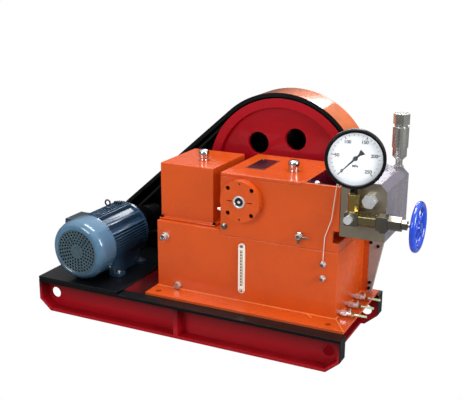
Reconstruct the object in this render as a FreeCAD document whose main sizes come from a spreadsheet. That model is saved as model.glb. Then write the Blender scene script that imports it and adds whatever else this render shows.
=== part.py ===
"""Hydrostatic test pump: a belt-driven plunger pump with its motor, valves and gauge on a steel skid.

Units are millimetres. Each piece is drawn from the skid's left front floor corner: X runs along the
skid to the fluid end, Y runs from the front to the belt side, Z is up. Every placement then takes off
the origin offset, so that the finished part stands on Z = 0 with its origin under its middle.
"""
import FreeCAD, Part
import math
import os
import re

import Sketcher
from FreeCAD import Placement, Rotation, Vector

# Driving dimensions: one named value for each size that can be set by itself.
SIZES = {
    "skid_height": 100, "skid_overhang": 54, "skid_back_margin": 21,
    "channel_flange": 43, "channel_plate": 9, "channel_web": 6,
    "skid_nose_run": 40, "skid_nose_rise": 34,
    "lift_hole_radius": 17, "lift_left_inset": 36, "lift_right_inset": 46, "lift_hole_height": 48,
    "stiffener_place": 484, "stiffener_width": 14,
    "left_cross_place": 60, "right_cross_inset": 92,
    "deck_length": 291, "deck_plate": 10,
    "base_plate": 8, "base_lip_left": 5, "base_lip_right": 47, "base_lip_front": 68.7,
    "base_hole_left": 30, "base_hole_right": 54, "base_hole_front": 29, "base_hole_radius": 9,
    "tank_left": 370.1, "tank_length": 570, "tank_front": 110.1, "tank_depth": 260.7, "tank_height": 194,
    "ledge_rise": 14,
    "box_front_inset": 26.3, "box_gap": 36.4, "box_depth": 214.2, "box_height": 159.6,
    "box_flange_plate": 6, "box_flange_lip": 12, "box_lid_plate": 6,
    "housing_length": 357.7, "housing_height": 186, "cover_length": 247.5, "cover_plate": 10,
    "bay_wall": 8, "bay_depth": 101,
    "window_rise": 43.5, "window_radius": 17.2, "window_reach": 54.6, "window_depth": 30,
    "window_notch": 17.2, "window_front_wall": 9,
    "drive_inset": 64.6, "drive_rise": 115.3,
    "bearing_shift": 6.6, "bearing_drop": 2, "bearing_radius": 60.6, "bearing_thick": 24,
    "bearing_bolt_circle": 51.5, "bearing_well_radius": 6.5, "bearing_well_depth": 12,
    "sight_seat_radius": 13, "rear_bearing_radius": 59.6, "rear_bearing_thick": 9,
    "breather_radius": 16.5, "breather_height": 34.5,
    "left_breather_inset": 102, "left_breather_depth": 82.9,
    "right_breather_inset": 181.8, "right_breather_depth": 104,
    "level_inset": 282.9, "level_rise": 26.3, "level_height": 152.6, "level_width": 21, "level_thick": 6,
    "level_slot_width": 8,
    "plug_inset": 30.3, "plug_drop": 31.2, "plug_radius": 9, "plug_reach": 24, "plug_bore_radius": 6.5,
    "plug_hex_flats": 22, "plug_hex_reach": 9,
    "drain_inset": 70.8, "drain_rise": 12.5, "drain_flats": 18, "drain_reach": 12,
    "tap_inset": 111.2, "tap_rise": 35.4, "tap_radius": 8, "tap_reach": 18, "tap_lever_length": 30,
    "tap_lever_thick": 3, "tap_lever_width": 5, "tap_hub_radius": 5.6,
    "nut_inset": 40.5, "upper_nut_drop": 37.3, "lower_nut_drop": 78.7, "nut_flats": 16, "nut_reach": 15,
    "nut_dome_radius": 7.6,
    "drip_pipe_radius": 1.2, "drip_rise": 14, "drip_standoff": 9, "drip_drop": 90, "drip_slack": 70,
    "side_pipe_radius": 4, "side_pipe_inset": 112, "side_pipe_rise": 75, "side_pipe_reach": 34,
    "block_length": 125.6, "block_front_inset": 3.1, "block_depth": 217.2, "block_rise": 48.6,
    "block_height": 157.6, "block_chamfer_run": 18.2, "block_chamfer_rise": 17.7,
    "suction_radius": 13, "suction_depth": 26, "suction_rise": 34,
    "plunger_pitch": 66.7, "plunger_radius": 11, "plunger_axis_drop": 78, "gland_radius": 19,
    "gland_length": 30, "valve_cap_flats": 26, "valve_cap_height": 12, "valve_cap_inset": 61.6,
    "leg_thick": 12, "leg_foot_width": 12, "leg_head_width": 58, "leg_back_inset": 17,
    "rib_width": 19,
    "cock_rise": 12.5, "cock_first": 26.3, "cock_pitch": 65.7, "cock_radius": 6, "cock_reach": 82,
    "cock_nut_flats": 15, "cock_key_height": 15,
    "valve_standoff": 30.3, "valve_rise": 66.7, "tee_inset": 45.4, "tee_width": 36.4, "nipple_radius": 12,
    "tee_plug_radius": 11, "tee_plug_reach": 14, "tee_plug_shift": 5,
    "bar_length": 48.5, "bar_flats": 35, "valve_body_length": 30.3, "valve_body_width": 36.4,
    "valve_body_height": 38.4, "valve_body_drop": 2, "outlet_radius": 9, "outlet_length": 8,
    "outlet_bore_radius": 6, "outlet_bore_length": 22,
    "bonnet_length": 34.4, "bonnet_flats": 34, "gland_nut_length": 14, "gland_nut_flats": 24,
    "stem_radius": 5, "handwheel_reach": 41.3, "handwheel_radius": 66.7, "handwheel_rim": 8,
    "handwheel_hub_radius": 12, "handwheel_hub_length": 18, "handwheel_spoke_radius": 4,
    "cap_inset": 82.8, "cap_drop": 46.5, "cap_flats": 34.4, "cap_reach": 20,
    "gauge_radius": 78.8, "gauge_rise": 161.6, "gauge_turn": 16, "gauge_front_reach": 24,
    "gauge_bezel_depth": 14, "gauge_case_radius": 73.7, "gauge_case_depth": 46, "gauge_rim_width": 9,
    "gauge_dial_plate": 1.5, "gauge_glass_plate": 2, "gauge_case_wall": 3, "gauge_case_bevel": 4,
    "gauge_rim_lip": 3,
    "gauge_boss_side": 16, "gauge_nut_flats": 26, "gauge_nut_height": 35, "gauge_collar_flats": 29,
    "gauge_collar_height": 12,
    "pointer_length": 56, "pointer_tail": 26, "pointer_tail_width": 17, "pointer_width": 5,
    "pointer_tip_width": 1, "pointer_plate": 1, "pointer_hub_radius": 6,
    "safety_right_inset": 25.6, "safety_back_inset": 18.2, "safety_foot_flats": 24,
    "safety_foot_height": 8, "safety_neck_radius": 9.6, "safety_neck_height": 15.6,
    "safety_cone_height": 11, "safety_low_radius": 20, "safety_low_height": 24.5, "safety_radius": 22.5,
    "safety_barrel_height": 58, "safety_groove_radius": 18, "safety_groove_height": 7,
    "safety_cap_flats": 41, "safety_cap_height": 30,
    "motor_x": 138, "motor_axis_height": 97, "motor_front": 15, "motor_length": 290,
    "motor_body_radius": 82, "motor_fin_radius": 94, "motor_fin_thick": 2.6, "motor_fin_pitch": 8.4,
    "motor_side_fin_count": 11, "motor_top_fin_count": 7, "motor_pad_left": 36, "motor_pad_right": 64,
    "motor_pad_height": 67,
    "motor_cowl_length": 78, "motor_cowl_radius": 94.5, "motor_cowl_sheet": 2.5,
    "motor_grille_radius": 69, "motor_shield_length": 24, "motor_shield_radius": 88,
    "motor_shield_neck_radius": 36, "motor_shaft_radius": 12, "motor_foot_spread": 160,
    "motor_foot_pitch": 125, "motor_foot_first": 105, "motor_foot_pad": 32, "motor_foot_plate": 10,
    "motor_foot_bolt_radius": 5, "motor_rail_inset": 14, "motor_rail_width": 16, "motor_rail_height": 55,
    "terminal_side": 118, "terminal_width": 44, "terminal_first": 106, "terminal_length": 88,
    "terminal_height": 84, "terminal_drop": 28, "terminal_gap": 0.3,
    "cowl_shoulder": 26, "cowl_seat": 1, "grille_recess": 2, "grille_rib_setback": 0.5,
    "grille_hub_radius": 18, "grille_hub_bore": 13,
    "grille_rib_width": 3.5, "grille_rib_count": 5, "grille_hole_radius": 3.2, "grille_first_ring": 26,
    "grille_ring_pitch": 9,
    "fan_radius": 64, "fan_core_radius": 25, "fan_blade_count": 8, "fan_depth": 22, "fan_gap": 8,
    "fan_sheet": 2.5,
    "wheel_radius": 244.5, "wheel_width": 75.8, "wheel_gap": 20.2, "wheel_rim_depth": 28.3,
    "wheel_web_setback": 16, "wheel_web_thick": 14, "wheel_hub_radius": 46.5, "wheel_hub_setback": 8,
    "wheel_hole_radius": 34.4, "wheel_hole_circle": 126.3, "wheel_hole_angle": 10,
    "crank_radius": 25, "crank_insert": 20, "crank_stub": 3,
    "groove_first": 15, "groove_pitch": 15, "groove_depth": 11, "groove_mouth": 13,
    "groove_floor": 6, "belt_count": 4, "belt_width": 7.4, "belt_depth": 6.5, "belt_crown": 0.5,
    "pulley_radius": 45, "pulley_hub_radius": 24, "pulley_hub_length": 22,
    "guard_wheel_space": 17.2, "guard_pulley_space": 38, "guard_sheet": 3, "guard_depth": 118,
    "guard_wheel_gap": 5, "guard_foot_lap": 20, "guard_foot_width": 44, "guard_foot_plate": 6,
    "guard_left_grip": 42, "guard_right_grip": 19, "guard_foot_reach": 60,
    "guard_apron_gap": 8, "guard_apron_plate": 4, "guard_apron_lap": 40,
    "running_clearance": 0.08, "face_gap": 0.3,
}

# Places that several pieces share, each written once from the driving dimensions or from another place.
SHARED = {
    "TANK_RIGHT": "(tank_left + tank_length)",
    "TANK_BACK": "(tank_front + tank_depth)",
    "SKID_LENGTH": "(TANK_RIGHT + skid_overhang)",
    "SKID_WIDTH": "(TANK_BACK + skid_back_margin)",
    "DECK_TOP": "(skid_height + deck_plate)",
    "BASE_TOP": "(skid_height + base_plate)",
    "BASE_LEFT": "(tank_left - base_lip_left)",
    "BASE_RIGHT": "(TANK_RIGHT + base_lip_right)",
    "BASE_FRONT": "(tank_front - base_lip_front)",
    "SEAM_Z": "(BASE_TOP + tank_height)",
    "LEDGE_LENGTH": "(tank_length - housing_length)",
    "LEDGE_Z": "(SEAM_Z + ledge_rise)",
    "HOUSING_LEFT": "(TANK_RIGHT - housing_length)",
    "HOUSING_TOP": "(SEAM_Z + housing_height)",
    "BAY_LEFT": "(HOUSING_LEFT + cover_length + bay_wall)",
    "BAY_LENGTH": "(housing_length - cover_length - 2 * bay_wall)",
    "WINDOW_Z": "(SEAM_Z + window_rise)",
    "DRIVE_X": "(HOUSING_LEFT + drive_inset)",
    "DRIVE_Z": "(SEAM_Z + drive_rise)",
    "BEARING_X": "(DRIVE_X + bearing_shift)",
    "BEARING_Z": "(DRIVE_Z - bearing_drop)",
    "BOX_FRONT": "(tank_front + box_front_inset)",
    "BOX_LENGTH": "(LEDGE_LENGTH - box_gap)",
    "BOX_TOP": "(LEDGE_Z + box_flange_plate + box_height + box_lid_plate)",
    "LEVEL_X": "(tank_left + level_inset)",
    "LEVEL_BOTTOM": "(BASE_TOP + level_rise)",
    "BLOCK_FRONT": "(tank_front + block_front_inset)",
    "BLOCK_BACK": "(BLOCK_FRONT + block_depth)",
    "BLOCK_MID_Y": "(BLOCK_FRONT + block_depth / 2)",
    "BLOCK_RIGHT": "(TANK_RIGHT + block_length)",
    "BLOCK_BOTTOM": "(SEAM_Z + block_rise)",
    "BLOCK_TOP": "(BLOCK_BOTTOM + block_height)",
    "PLUNGER_Z": "(BLOCK_TOP - plunger_axis_drop)",
    "TEE_X": "(TANK_RIGHT + tee_inset)",
    "VALVE_Y": "(BLOCK_FRONT - valve_standoff)",
    "VALVE_Z": "(BLOCK_BOTTOM + valve_rise)",
    "BAR_LEFT": "(TEE_X + tee_width / 2)",
    "BODY_LEFT": "(BAR_LEFT + bar_length)",
    "BONNET_LEFT": "(BODY_LEFT + valve_body_length)",
    "GLAND_LEFT": "(BONNET_LEFT + bonnet_length)",
    "HANDWHEEL_X": "(GLAND_LEFT + handwheel_reach)",
    "GAUGE_Z": "(VALVE_Z + gauge_rise)",
    "SAFETY_X": "(BLOCK_RIGHT - safety_right_inset)",
    "SAFETY_Y": "(BLOCK_BACK - safety_back_inset)",
    "MOTOR_Z": "(DECK_TOP + motor_axis_height)",
    "FRAME_FRONT": "(motor_front + motor_cowl_length)",
    "FRAME_LENGTH": "(motor_length - motor_cowl_length - motor_shield_length)",
    "SHAFT_ROOT": "(motor_front + motor_length)",
    "WHEEL_FRONT": "(TANK_BACK + wheel_gap)",
    "WHEEL_STEP_RADIUS": "(wheel_radius - wheel_rim_depth)",
    "PULLEY_FRONT": "(WHEEL_FRONT + groove_first - groove_pitch / 2)",
    "PULLEY_WIDTH": "(belt_count * groove_pitch)",
    "GUARD_BACK": "(WHEEL_FRONT + guard_depth)",
    "GUARD_RADIUS": "(wheel_radius + guard_wheel_space)",
    "GUARD_SMALL_RADIUS": "(pulley_radius + guard_pulley_space)",
    "ORIGIN_X": "((HANDWHEEL_X + handwheel_hub_length / 2) / 2)",
    "ORIGIN_Y": "(GUARD_BACK / 2)",
}

ALONG_X = Rotation(Vector(0, 1, 0), 90)
ALONG_Y = Rotation(Vector(1, 0, 0), -90)
TOWARDS_FRONT = Rotation(Vector(1, 0, 0), 90)
ALONG_Z = Rotation()

# Half of the dial's sweep: the pointer rests this far round from the top, in degrees.
POINTER_REST = 135
# Where the cowl's rounded shoulder has its corners, in degrees from its front.
SHOULDER_ANGLES = (0, 30, 60, 90)

doc = FreeCAD.newDocument("TestPump")
sheet = doc.addObject("Spreadsheet::Sheet", "Sizes")
reader = doc.addObject("App::FeaturePython", "Reader")
reader.addProperty("App::PropertyFloat", "Worth")
finished = []


def fill_sheet():
    """Write each driving dimension into the sheet as plain text with its alias."""
    for row, (alias, value) in enumerate(SIZES.items(), start=1):
        sheet.set(f"A{row}", alias.replace("_", " "))
        sheet.set(f"B{row}", str(value))
        sheet.setAlias(f"B{row}", alias)
    doc.recompute()


def spelled(expression):
    """Turn a short expression into one that names the sheet's cells."""
    text = str(expression)
    while re.search(r"\b[A-Z][A-Z_]+\b", text):
        text = re.sub(r"\b[A-Z][A-Z_]+\b", lambda word: SHARED[word[0]], text)
    return re.sub(r"[a-z][a-z_]+", lambda word: "Sizes." + word[0] if word[0] in SIZES else word[0], text)


def worth(expression):
    """Work out an expression in the sheet's sizes as a plain number."""
    reader.setExpression("Worth", spelled(expression))
    reader.recompute()
    return reader.Worth


def bind(thing, **bindings):
    """Bind properties of an object to expressions in the sheet."""
    for prop, expression in bindings.items():
        thing.setExpression(prop, spelled(expression))
    return thing


def put(thing, x, y, z, turn=ALONG_Z):
    """Place an object at a point measured from the skid's corner, turned as asked."""
    thing.Placement = Placement(Vector(), turn)
    thing.setExpression("Placement.Base.x", spelled(f"{x} - ORIGIN_X"))
    thing.setExpression("Placement.Base.y", spelled(f"{y} - ORIGIN_Y"))
    thing.setExpression("Placement.Base.z", spelled(z))
    return thing


def block(length, width, height, x, y, z, name="Block"):
    """A rectangular block with its low corner at the point."""
    return put(bind(doc.addObject("Part::Box", name), Length=length, Width=width, Height=height), x, y, z)


def rod(radius, height, x, y, z, turn=ALONG_Z, name="Rod"):
    """A cylinder that starts at the point and runs along the turned Z axis."""
    return put(bind(doc.addObject("Part::Cylinder", name), Radius=radius, Height=height), x, y, z, turn)


def cone(radius, end_radius, height, x, y, z, turn=ALONG_Z, name="Cone"):
    """A tapered round piece."""
    shape = bind(doc.addObject("Part::Cone", name), Radius1=radius, Radius2=end_radius, Height=height)
    return put(shape, x, y, z, turn)


def hexagon(flats, height, x, y, z, turn=ALONG_Z, name="Hexagon"):
    """A hexagonal bar of the given width across flats."""
    shape = doc.addObject("Part::Prism", name)
    shape.Polygon = 6
    bind(shape, Circumradius=f"({flats}) / sqrt(3)", Height=height)
    return put(shape, x, y, z, turn)


def join(*shapes, name="Join"):
    """Fuse shapes into one."""
    fused = doc.addObject("Part::MultiFuse", name)
    fused.Shapes = list(shapes)
    return fused


def take(base, *tools, name="Cut"):
    """Cut one or more tools from a base."""
    cut = doc.addObject("Part::Cut", name)
    cut.Base = base
    cut.Tool = tools[0] if len(tools) == 1 else join(*tools)
    return cut


def keep(shape, label):
    """Name an object as a finished sub-part of the pump."""
    shape.Label = label
    finished.append(shape)
    return shape


def plane_of(body, role):
    """Find one of a body's own origin planes."""
    return next(part for part in body.Origin.OriginFeatures if part.Role == role)


def sketch_on(body, role, name="Outline"):
    """Start a sketch on one of a body's origin planes."""
    sketch = body.newObject("Sketcher::SketchObject", name)
    sketch.AttachmentSupport = [(plane_of(body, role), "")]
    sketch.MapMode = "FlatFace"
    return sketch


def hold_point(sketch, geometry, corner, across, up):
    """Hold one point of a sketch at bound distances from the sketch's origin."""
    for kind, expression in (("DistanceX", across), ("DistanceY", up)):
        row = sketch.addConstraint(Sketcher.Constraint(kind, -1, 1, geometry, corner, 1.0))
        sketch.setExpression(f"Constraints[{row}]", spelled(expression))


def polygon(sketch, corners):
    """Draw a closed outline whose every corner is bound to the sheet."""
    count = len(corners)
    for index in range(count):
        start = Vector(index, index * index, 0)
        follower = (index + 1) % count
        end = Vector(follower, follower * follower, 0)
        sketch.addGeometry(Part.LineSegment(start, end), False)
    for index in range(count):
        sketch.addConstraint(Sketcher.Constraint("Coincident", index, 2, (index + 1) % count, 1))
    for index, (across, up) in enumerate(corners):
        hold_point(sketch, index, 1, across, up)
    return sketch


def ring_mark(sketch, across, up, radius):
    """Draw one bound circle in a sketch."""
    index = sketch.addGeometry(Part.Circle(Vector(1, 1, 0), Vector(0, 0, 1), 2), False)
    hold_point(sketch, index, 3, across, up)
    row = sketch.addConstraint(Sketcher.Constraint("Radius", index, 2.0))
    sketch.setExpression(f"Constraints[{row}]", spelled(radius))
    return sketch


def new_body(name):
    """A part-design body."""
    return doc.addObject("PartDesign::Body", name)


def padded(body, sketch, length, backwards=False):
    """Extrude a sketch in a body."""
    pad = body.newObject("PartDesign::Pad", "Pad")
    pad.Profile = sketch
    pad.Reversed = backwards
    return bind(pad, Length=length)


def pocketed(body, sketch, length, backwards=False):
    """Cut a sketch's outline out of a body to a depth, and check that it removed something."""
    doc.recompute()
    before = body.Shape.Volume
    pocket = body.newObject("PartDesign::Pocket", "Pocket")
    pocket.Profile = sketch
    pocket.Reversed = backwards
    bind(pocket, Length=length)
    doc.recompute()
    if body.Shape.Volume > before - 1e-6:
        raise RuntimeError(f"a pocket in {body.Name} cut nothing")
    return pocket


def turned(name, profile, x, y, z, turn=ALONG_Z):
    """A solid of revolution about its own Z axis, from (radius, height) corners."""
    body = new_body(name)
    sketch = polygon(sketch_on(body, "XZ_Plane"), profile)
    spin = body.newObject("PartDesign::Revolution", "Revolution")
    spin.Profile = sketch
    spin.ReferenceAxis = (sketch, ["V_Axis"])
    spin.Angle = 360
    return put(body, x, y, z, turn)


def spoked(name, core_radius, core_length, spoke, spoke_length, count):
    """A round core with equal blades round it; the first blade's corners point up the sketch."""
    body = new_body(name)
    padded(body, ring_mark(sketch_on(body, "XY_Plane"), "0", "0", core_radius), core_length)
    blade = padded(body, polygon(sketch_on(body, "XY_Plane"), spoke), spoke_length)
    around(body, blade, count)
    return body


def around(body, feature, count):
    """Repeat a feature round the body's Z axis."""
    pattern = body.newObject("PartDesign::PolarPattern", "Around")
    pattern.Originals = [feature]
    pattern.Axis = (next(part for part in body.Origin.OriginFeatures if part.Role == "Z_Axis"), [""])
    pattern.Angle = 360
    bind(pattern, Occurrences=count)
    body.Tip = pattern
    return pattern


def custom(name, shape, x, y, z):
    """A shape made by calculation, placed from the skid's corner."""
    thing = doc.addObject("Part::Feature", name)
    thing.Shape = shape
    return put(thing, x, y, z)


# Skid


def beam_outline(inset):
    """The side view of a skid beam, drawn in from its edge by the given plate thickness."""
    nose_slope = "skid_nose_rise / skid_nose_run"
    nose_slant = "sqrt(skid_nose_rise^2 + skid_nose_run^2) / skid_nose_run"
    nose_foot = f"(skid_nose_run + {inset} * ({nose_slant} - 1) / ({nose_slope}))"
    nose_head = f"(skid_nose_rise + {inset} * {nose_slant} - {inset} * {nose_slope})"
    return [
        (inset, nose_head),
        (nose_foot, inset),
        (f"SKID_LENGTH - {nose_foot}", inset),
        (f"SKID_LENGTH - {inset}", nose_head),
        (f"SKID_LENGTH - {inset}", f"skid_height - {inset}"),
        (inset, f"skid_height - {inset}"),
    ]


def skid_beam(name, front):
    """A channel beam with closed ends and lifting holes; its open side faces outwards."""
    body = new_body("BeamSection")
    padded(body, polygon(sketch_on(body, "XZ_Plane"), beam_outline("0")), "channel_flange", True)
    inner = polygon(sketch_on(body, "XZ_Plane"), beam_outline("channel_plate"))
    pocketed(body, inner, "channel_flange - channel_web")
    holes = sketch_on(body, "XZ_Plane")
    ring_mark(holes, "lift_left_inset", "lift_hole_height", "lift_hole_radius")
    ring_mark(holes, "SKID_LENGTH - lift_right_inset", "lift_hole_height", "lift_hole_radius")
    pocketed(body, holes, "channel_flange + 1")
    if front:
        put(body, "0", "0", "0")
    else:
        put(body, "SKID_LENGTH", "SKID_WIDTH", "0", Rotation(Vector(0, 0, 1), 180))
    stiffener = block("stiffener_width", "channel_flange - channel_web + 1", "skid_height - channel_plate",
                      "stiffener_place", "0" if front else "SKID_WIDTH - channel_flange + channel_web - 1",
                      "channel_plate / 2")
    return keep(join(body, stiffener), name)


def cross_channel(web_place, open_right):
    """A channel across the skid between the two beams."""
    span = "SKID_WIDTH - 2 * channel_flange"
    solid = block("channel_flange", span, "skid_height", web_place, "channel_flange", "0")
    recess_left = f"{web_place} + channel_web" if open_right else f"{web_place} - 1"
    recess = block("channel_flange - channel_web + 1", f"{span} + 2", "skid_height - 2 * channel_plate",
                   recess_left, "channel_flange - 1", "channel_plate")
    return take(solid, recess, name="CrossChannel")


def skid():
    """The welded frame and the motor's deck plate."""
    skid_beam("front_beam", True)
    skid_beam("back_beam", False)
    keep(join(cross_channel("left_cross_place", True),
              cross_channel("deck_length - channel_flange", False),
              cross_channel("SKID_LENGTH - right_cross_inset", True)), "cross_members")
    keep(block("deck_length", "SKID_WIDTH", "deck_plate", "0", "0", "skid_height"), "motor_deck")


# Tank and crankcase


def base_flange():
    """The flange plate that the tank stands on, with the two holes in its front lip."""
    plate = block("BASE_RIGHT - BASE_LEFT", "TANK_BACK - BASE_FRONT", "base_plate", "BASE_LEFT", "BASE_FRONT",
                  "skid_height")
    holes = [
        rod("base_hole_radius", "base_plate + 2", place_x, "BASE_FRONT + base_hole_front", "skid_height - 1")
        for place_x in ("BASE_LEFT + base_hole_left", "BASE_RIGHT - base_hole_right")
    ]
    keep(take(plate, *holes), "base_flange")


def tank():
    """The oil tank with the raised ledge under the left box, and the rib welded to its right end."""
    lower = block("tank_length", "tank_depth", "tank_height", "tank_left", "tank_front", "BASE_TOP")
    ledge = block("LEDGE_LENGTH", "tank_depth", "ledge_rise + 1", "tank_left", "tank_front", "SEAM_Z - 1")
    rib = block("rib_width", "leg_back_inset + leg_thick", "BLOCK_BOTTOM - BASE_TOP",
                "TANK_RIGHT", "TANK_BACK - leg_back_inset - leg_thick", "BASE_TOP")
    keep(join(lower, ledge, rib), "oil_tank")


def left_box():
    """The closed box on the ledge with the flange round its foot."""
    keep(join(block("BOX_LENGTH + box_flange_lip", "box_depth + 2 * box_flange_lip", "box_flange_plate",
                    "tank_left", "BOX_FRONT - box_flange_lip", "LEDGE_Z"),
              block("BOX_LENGTH", "box_depth", "box_height + box_lid_plate",
                    "tank_left", "BOX_FRONT", "LEDGE_Z + box_flange_plate")), "left_box")


def housing():
    """The crankcase with its open plunger bay, its window, and the boss and bore of its shaft."""
    height = "HOUSING_TOP - cover_plate - SEAM_Z"
    body = block("housing_length", "tank_depth", height, "HOUSING_LEFT", "tank_front", "SEAM_Z")
    rim = block("housing_length - cover_length", "tank_depth", "cover_plate + 1",
                "HOUSING_LEFT + cover_length", "tank_front", "HOUSING_TOP - cover_plate - 1")
    bay = block("BAY_LENGTH", "tank_depth - 2 * bay_wall", "bay_depth + 1", "BAY_LEFT",
                "tank_front + bay_wall", "HOUSING_TOP - bay_depth")
    window = block("window_depth + 1", "window_reach - window_front_wall", "2 * window_radius",
                   "TANK_RIGHT - window_depth", "tank_front + window_front_wall", "WINDOW_Z - window_radius")
    window_end = rod("window_radius", "window_depth + 1", "TANK_RIGHT - window_depth",
                     "tank_front + window_reach", "WINDOW_Z", ALONG_X)
    notch = block("window_notch + 1", "window_front_wall + 2", "2 * window_radius",
                  "TANK_RIGHT - window_notch", "tank_front - 1", "WINDOW_Z - window_radius")
    boss = rod("rear_bearing_radius", "rear_bearing_thick + 1", "DRIVE_X", "TANK_BACK - 1", "DRIVE_Z",
               ALONG_Y)
    bore = rod("crank_radius + running_clearance", "crank_insert + rear_bearing_thick + 2", "DRIVE_X",
               "TANK_BACK - crank_insert - 1", "DRIVE_Z", ALONG_Y)
    keep(take(join(body, rim, boss), bay, window, window_end, notch, bore), "crankcase")
    keep(block("cover_length", "tank_depth", "cover_plate",
               "HOUSING_LEFT", "tank_front", "HOUSING_TOP - cover_plate"), "crankcase_cover")


def plungers():
    """Three plungers across the bay, each through its gland nut."""
    solids = []
    for step in (-1, 0, 1):
        place_y = f"BLOCK_MID_Y + {step} * plunger_pitch"
        shaft = rod("plunger_radius", "BAY_LENGTH", "BAY_LEFT", place_y, "PLUNGER_Z", ALONG_X)
        gland = rod("gland_radius", "gland_length", "BAY_LEFT + BAY_LENGTH - gland_length", place_y,
                    "PLUNGER_Z", ALONG_X)
        solids.append(join(shaft, gland))
    keep(join(*solids), "plungers")


def bearing_cover():
    """The thick round cover on the front, with the seat of its sight glass and four bolt wells."""
    well_floor = "tank_front - bearing_thick + bearing_well_depth"
    disc = rod("bearing_radius", "bearing_thick", "BEARING_X", "tank_front", "BEARING_Z", TOWARDS_FRONT)
    seat = rod("sight_seat_radius", "bearing_well_depth + 1", "BEARING_X", well_floor, "BEARING_Z",
               TOWARDS_FRONT)
    holes = [
        rod("bearing_well_radius", "bearing_well_depth + 1",
            f"BEARING_X + {across} * bearing_bolt_circle / sqrt(2)", well_floor,
            f"BEARING_Z + {up} * bearing_bolt_circle / sqrt(2)", TOWARDS_FRONT)
        for across in (-1, 1) for up in (-1, 1)
    ]
    keep(take(disc, seat, *holes), "front_bearing_cover")


def breathers():
    """The two chrome breathers: each a neck, a flared cap and a low dome."""
    profile = [
        ("0", "0"),
        ("breather_radius * 0.8", "0"),
        ("breather_radius * 0.8", "breather_height * 0.1"),
        ("breather_radius * 0.92", "breather_height * 0.16"),
        ("breather_radius", "breather_height * 0.5"),
        ("breather_radius", "breather_height * 0.82"),
        ("breather_radius * 0.8", "breather_height * 0.96"),
        ("0", "breather_height"),
    ]
    keep(join(turned("LeftBreather", profile, "tank_left + left_breather_inset",
                     "BOX_FRONT + left_breather_depth", "BOX_TOP"),
              turned("RightBreather", profile, "HOUSING_LEFT + right_breather_inset",
                     "tank_front + right_breather_depth", "HOUSING_TOP")), "breathers")


def level_gauge():
    """The slotted frame of the level gauge."""
    straight = block("level_width", "level_thick", "level_height - level_width", "LEVEL_X - level_width / 2",
                     "tank_front - level_thick", "LEVEL_BOTTOM + level_width / 2")
    low_end = rod("level_width / 2", "level_thick", "LEVEL_X", "tank_front",
                  "LEVEL_BOTTOM + level_width / 2", TOWARDS_FRONT)
    high_end = rod("level_width / 2", "level_thick", "LEVEL_X", "tank_front",
                   "LEVEL_BOTTOM + level_height - level_width / 2", TOWARDS_FRONT)
    slot = block("level_slot_width", "level_thick / 2 + 1", "level_height - 2 * level_width",
                 "LEVEL_X - level_slot_width / 2", "tank_front - level_thick - 1",
                 "LEVEL_BOTTOM + level_width")
    keep(take(join(straight, low_end, high_end), slot), "level_gauge_frame")


def front_fittings():
    """The oil tap with its lever on the front of the crankcase."""
    tap_z = "SEAM_Z + tap_rise"
    tap_x = "TANK_RIGHT - tap_inset"
    keep(rod("tap_radius", "tap_reach", tap_x, "tank_front", tap_z, TOWARDS_FRONT), "oil_tap")
    lever_front = "(tank_front - tap_reach - face_gap)"
    hub = rod("tap_hub_radius", "tap_lever_thick", tap_x, lever_front, tap_z, TOWARDS_FRONT)
    arm = block("tap_lever_length", "tap_lever_thick", "tap_lever_width", tap_x,
                f"{lever_front} - tap_lever_thick", f"{tap_z} - tap_lever_width / 2")
    keep(join(hub, arm), "oil_tap_lever")


def tank_plugs():
    """The open oil plug, the drain plug and the two nipples on the front of the tank."""
    plug_x = "tank_left + plug_inset"
    plug_z = "SEAM_Z - plug_drop"
    plug = join(hexagon("plug_hex_flats", "plug_hex_reach", plug_x, "tank_front", plug_z, TOWARDS_FRONT),
                rod("plug_radius", "plug_reach", plug_x, "tank_front", plug_z, TOWARDS_FRONT))
    plug_bore = rod("plug_bore_radius", "plug_reach / 2 + 1", plug_x, "tank_front - plug_reach / 2", plug_z,
                    TOWARDS_FRONT)
    drain = hexagon("drain_flats", "drain_reach", "tank_left + drain_inset", "tank_front",
                    "BASE_TOP + drain_rise", TOWARDS_FRONT)
    nipples = []
    for drop in ("upper_nut_drop", "lower_nut_drop"):
        nut = hexagon("nut_flats", "nut_reach / 2", "TANK_RIGHT - nut_inset", "tank_front",
                      f"SEAM_Z - {drop}", TOWARDS_FRONT)
        dome = cone("nut_dome_radius", "nut_dome_radius * 0.7", "nut_reach / 2 + 1", "TANK_RIGHT - nut_inset",
                    "tank_front - nut_reach / 2 + 1", f"SEAM_Z - {drop}", TOWARDS_FRONT)
        nipples.append(join(nut, dome))
    return [take(plug, plug_bore), drain, *nipples]


def rounded_path(points, radius):
    """Straight runs joined by tangent arcs of one radius."""
    edges = []
    start = points[0]
    for before, corner, after in zip(points, points[1:], points[2:]):
        arriving = (corner - before).normalize()
        leaving = (after - corner).normalize()
        half = arriving.getAngle(leaving) / 2
        reach = radius * math.tan(half)
        arc_start = corner - arriving * reach
        arc_end = corner + leaving * reach
        inward = (leaving - arriving).normalize()
        middle = corner + inward * (radius / math.cos(half) - radius)
        edges.append(Part.LineSegment(start, arc_start).toShape())
        edges.append(Part.Arc(arc_start, middle, arc_end).toShape())
        start = arc_end
    edges.append(Part.LineSegment(start, points[-1]).toShape())
    return Part.Wire(edges)


def pipe_along(name, points, radius, bend):
    """A rigid pipe that follows a rounded path."""
    path = rounded_path(points, bend)
    direction = (points[1] - points[0]).normalize()
    circle = Part.Wire(Part.makeCircle(radius, points[0], direction))
    return custom(name, path.makePipeShell([circle], True, False), "0", "0", "0")


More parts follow.
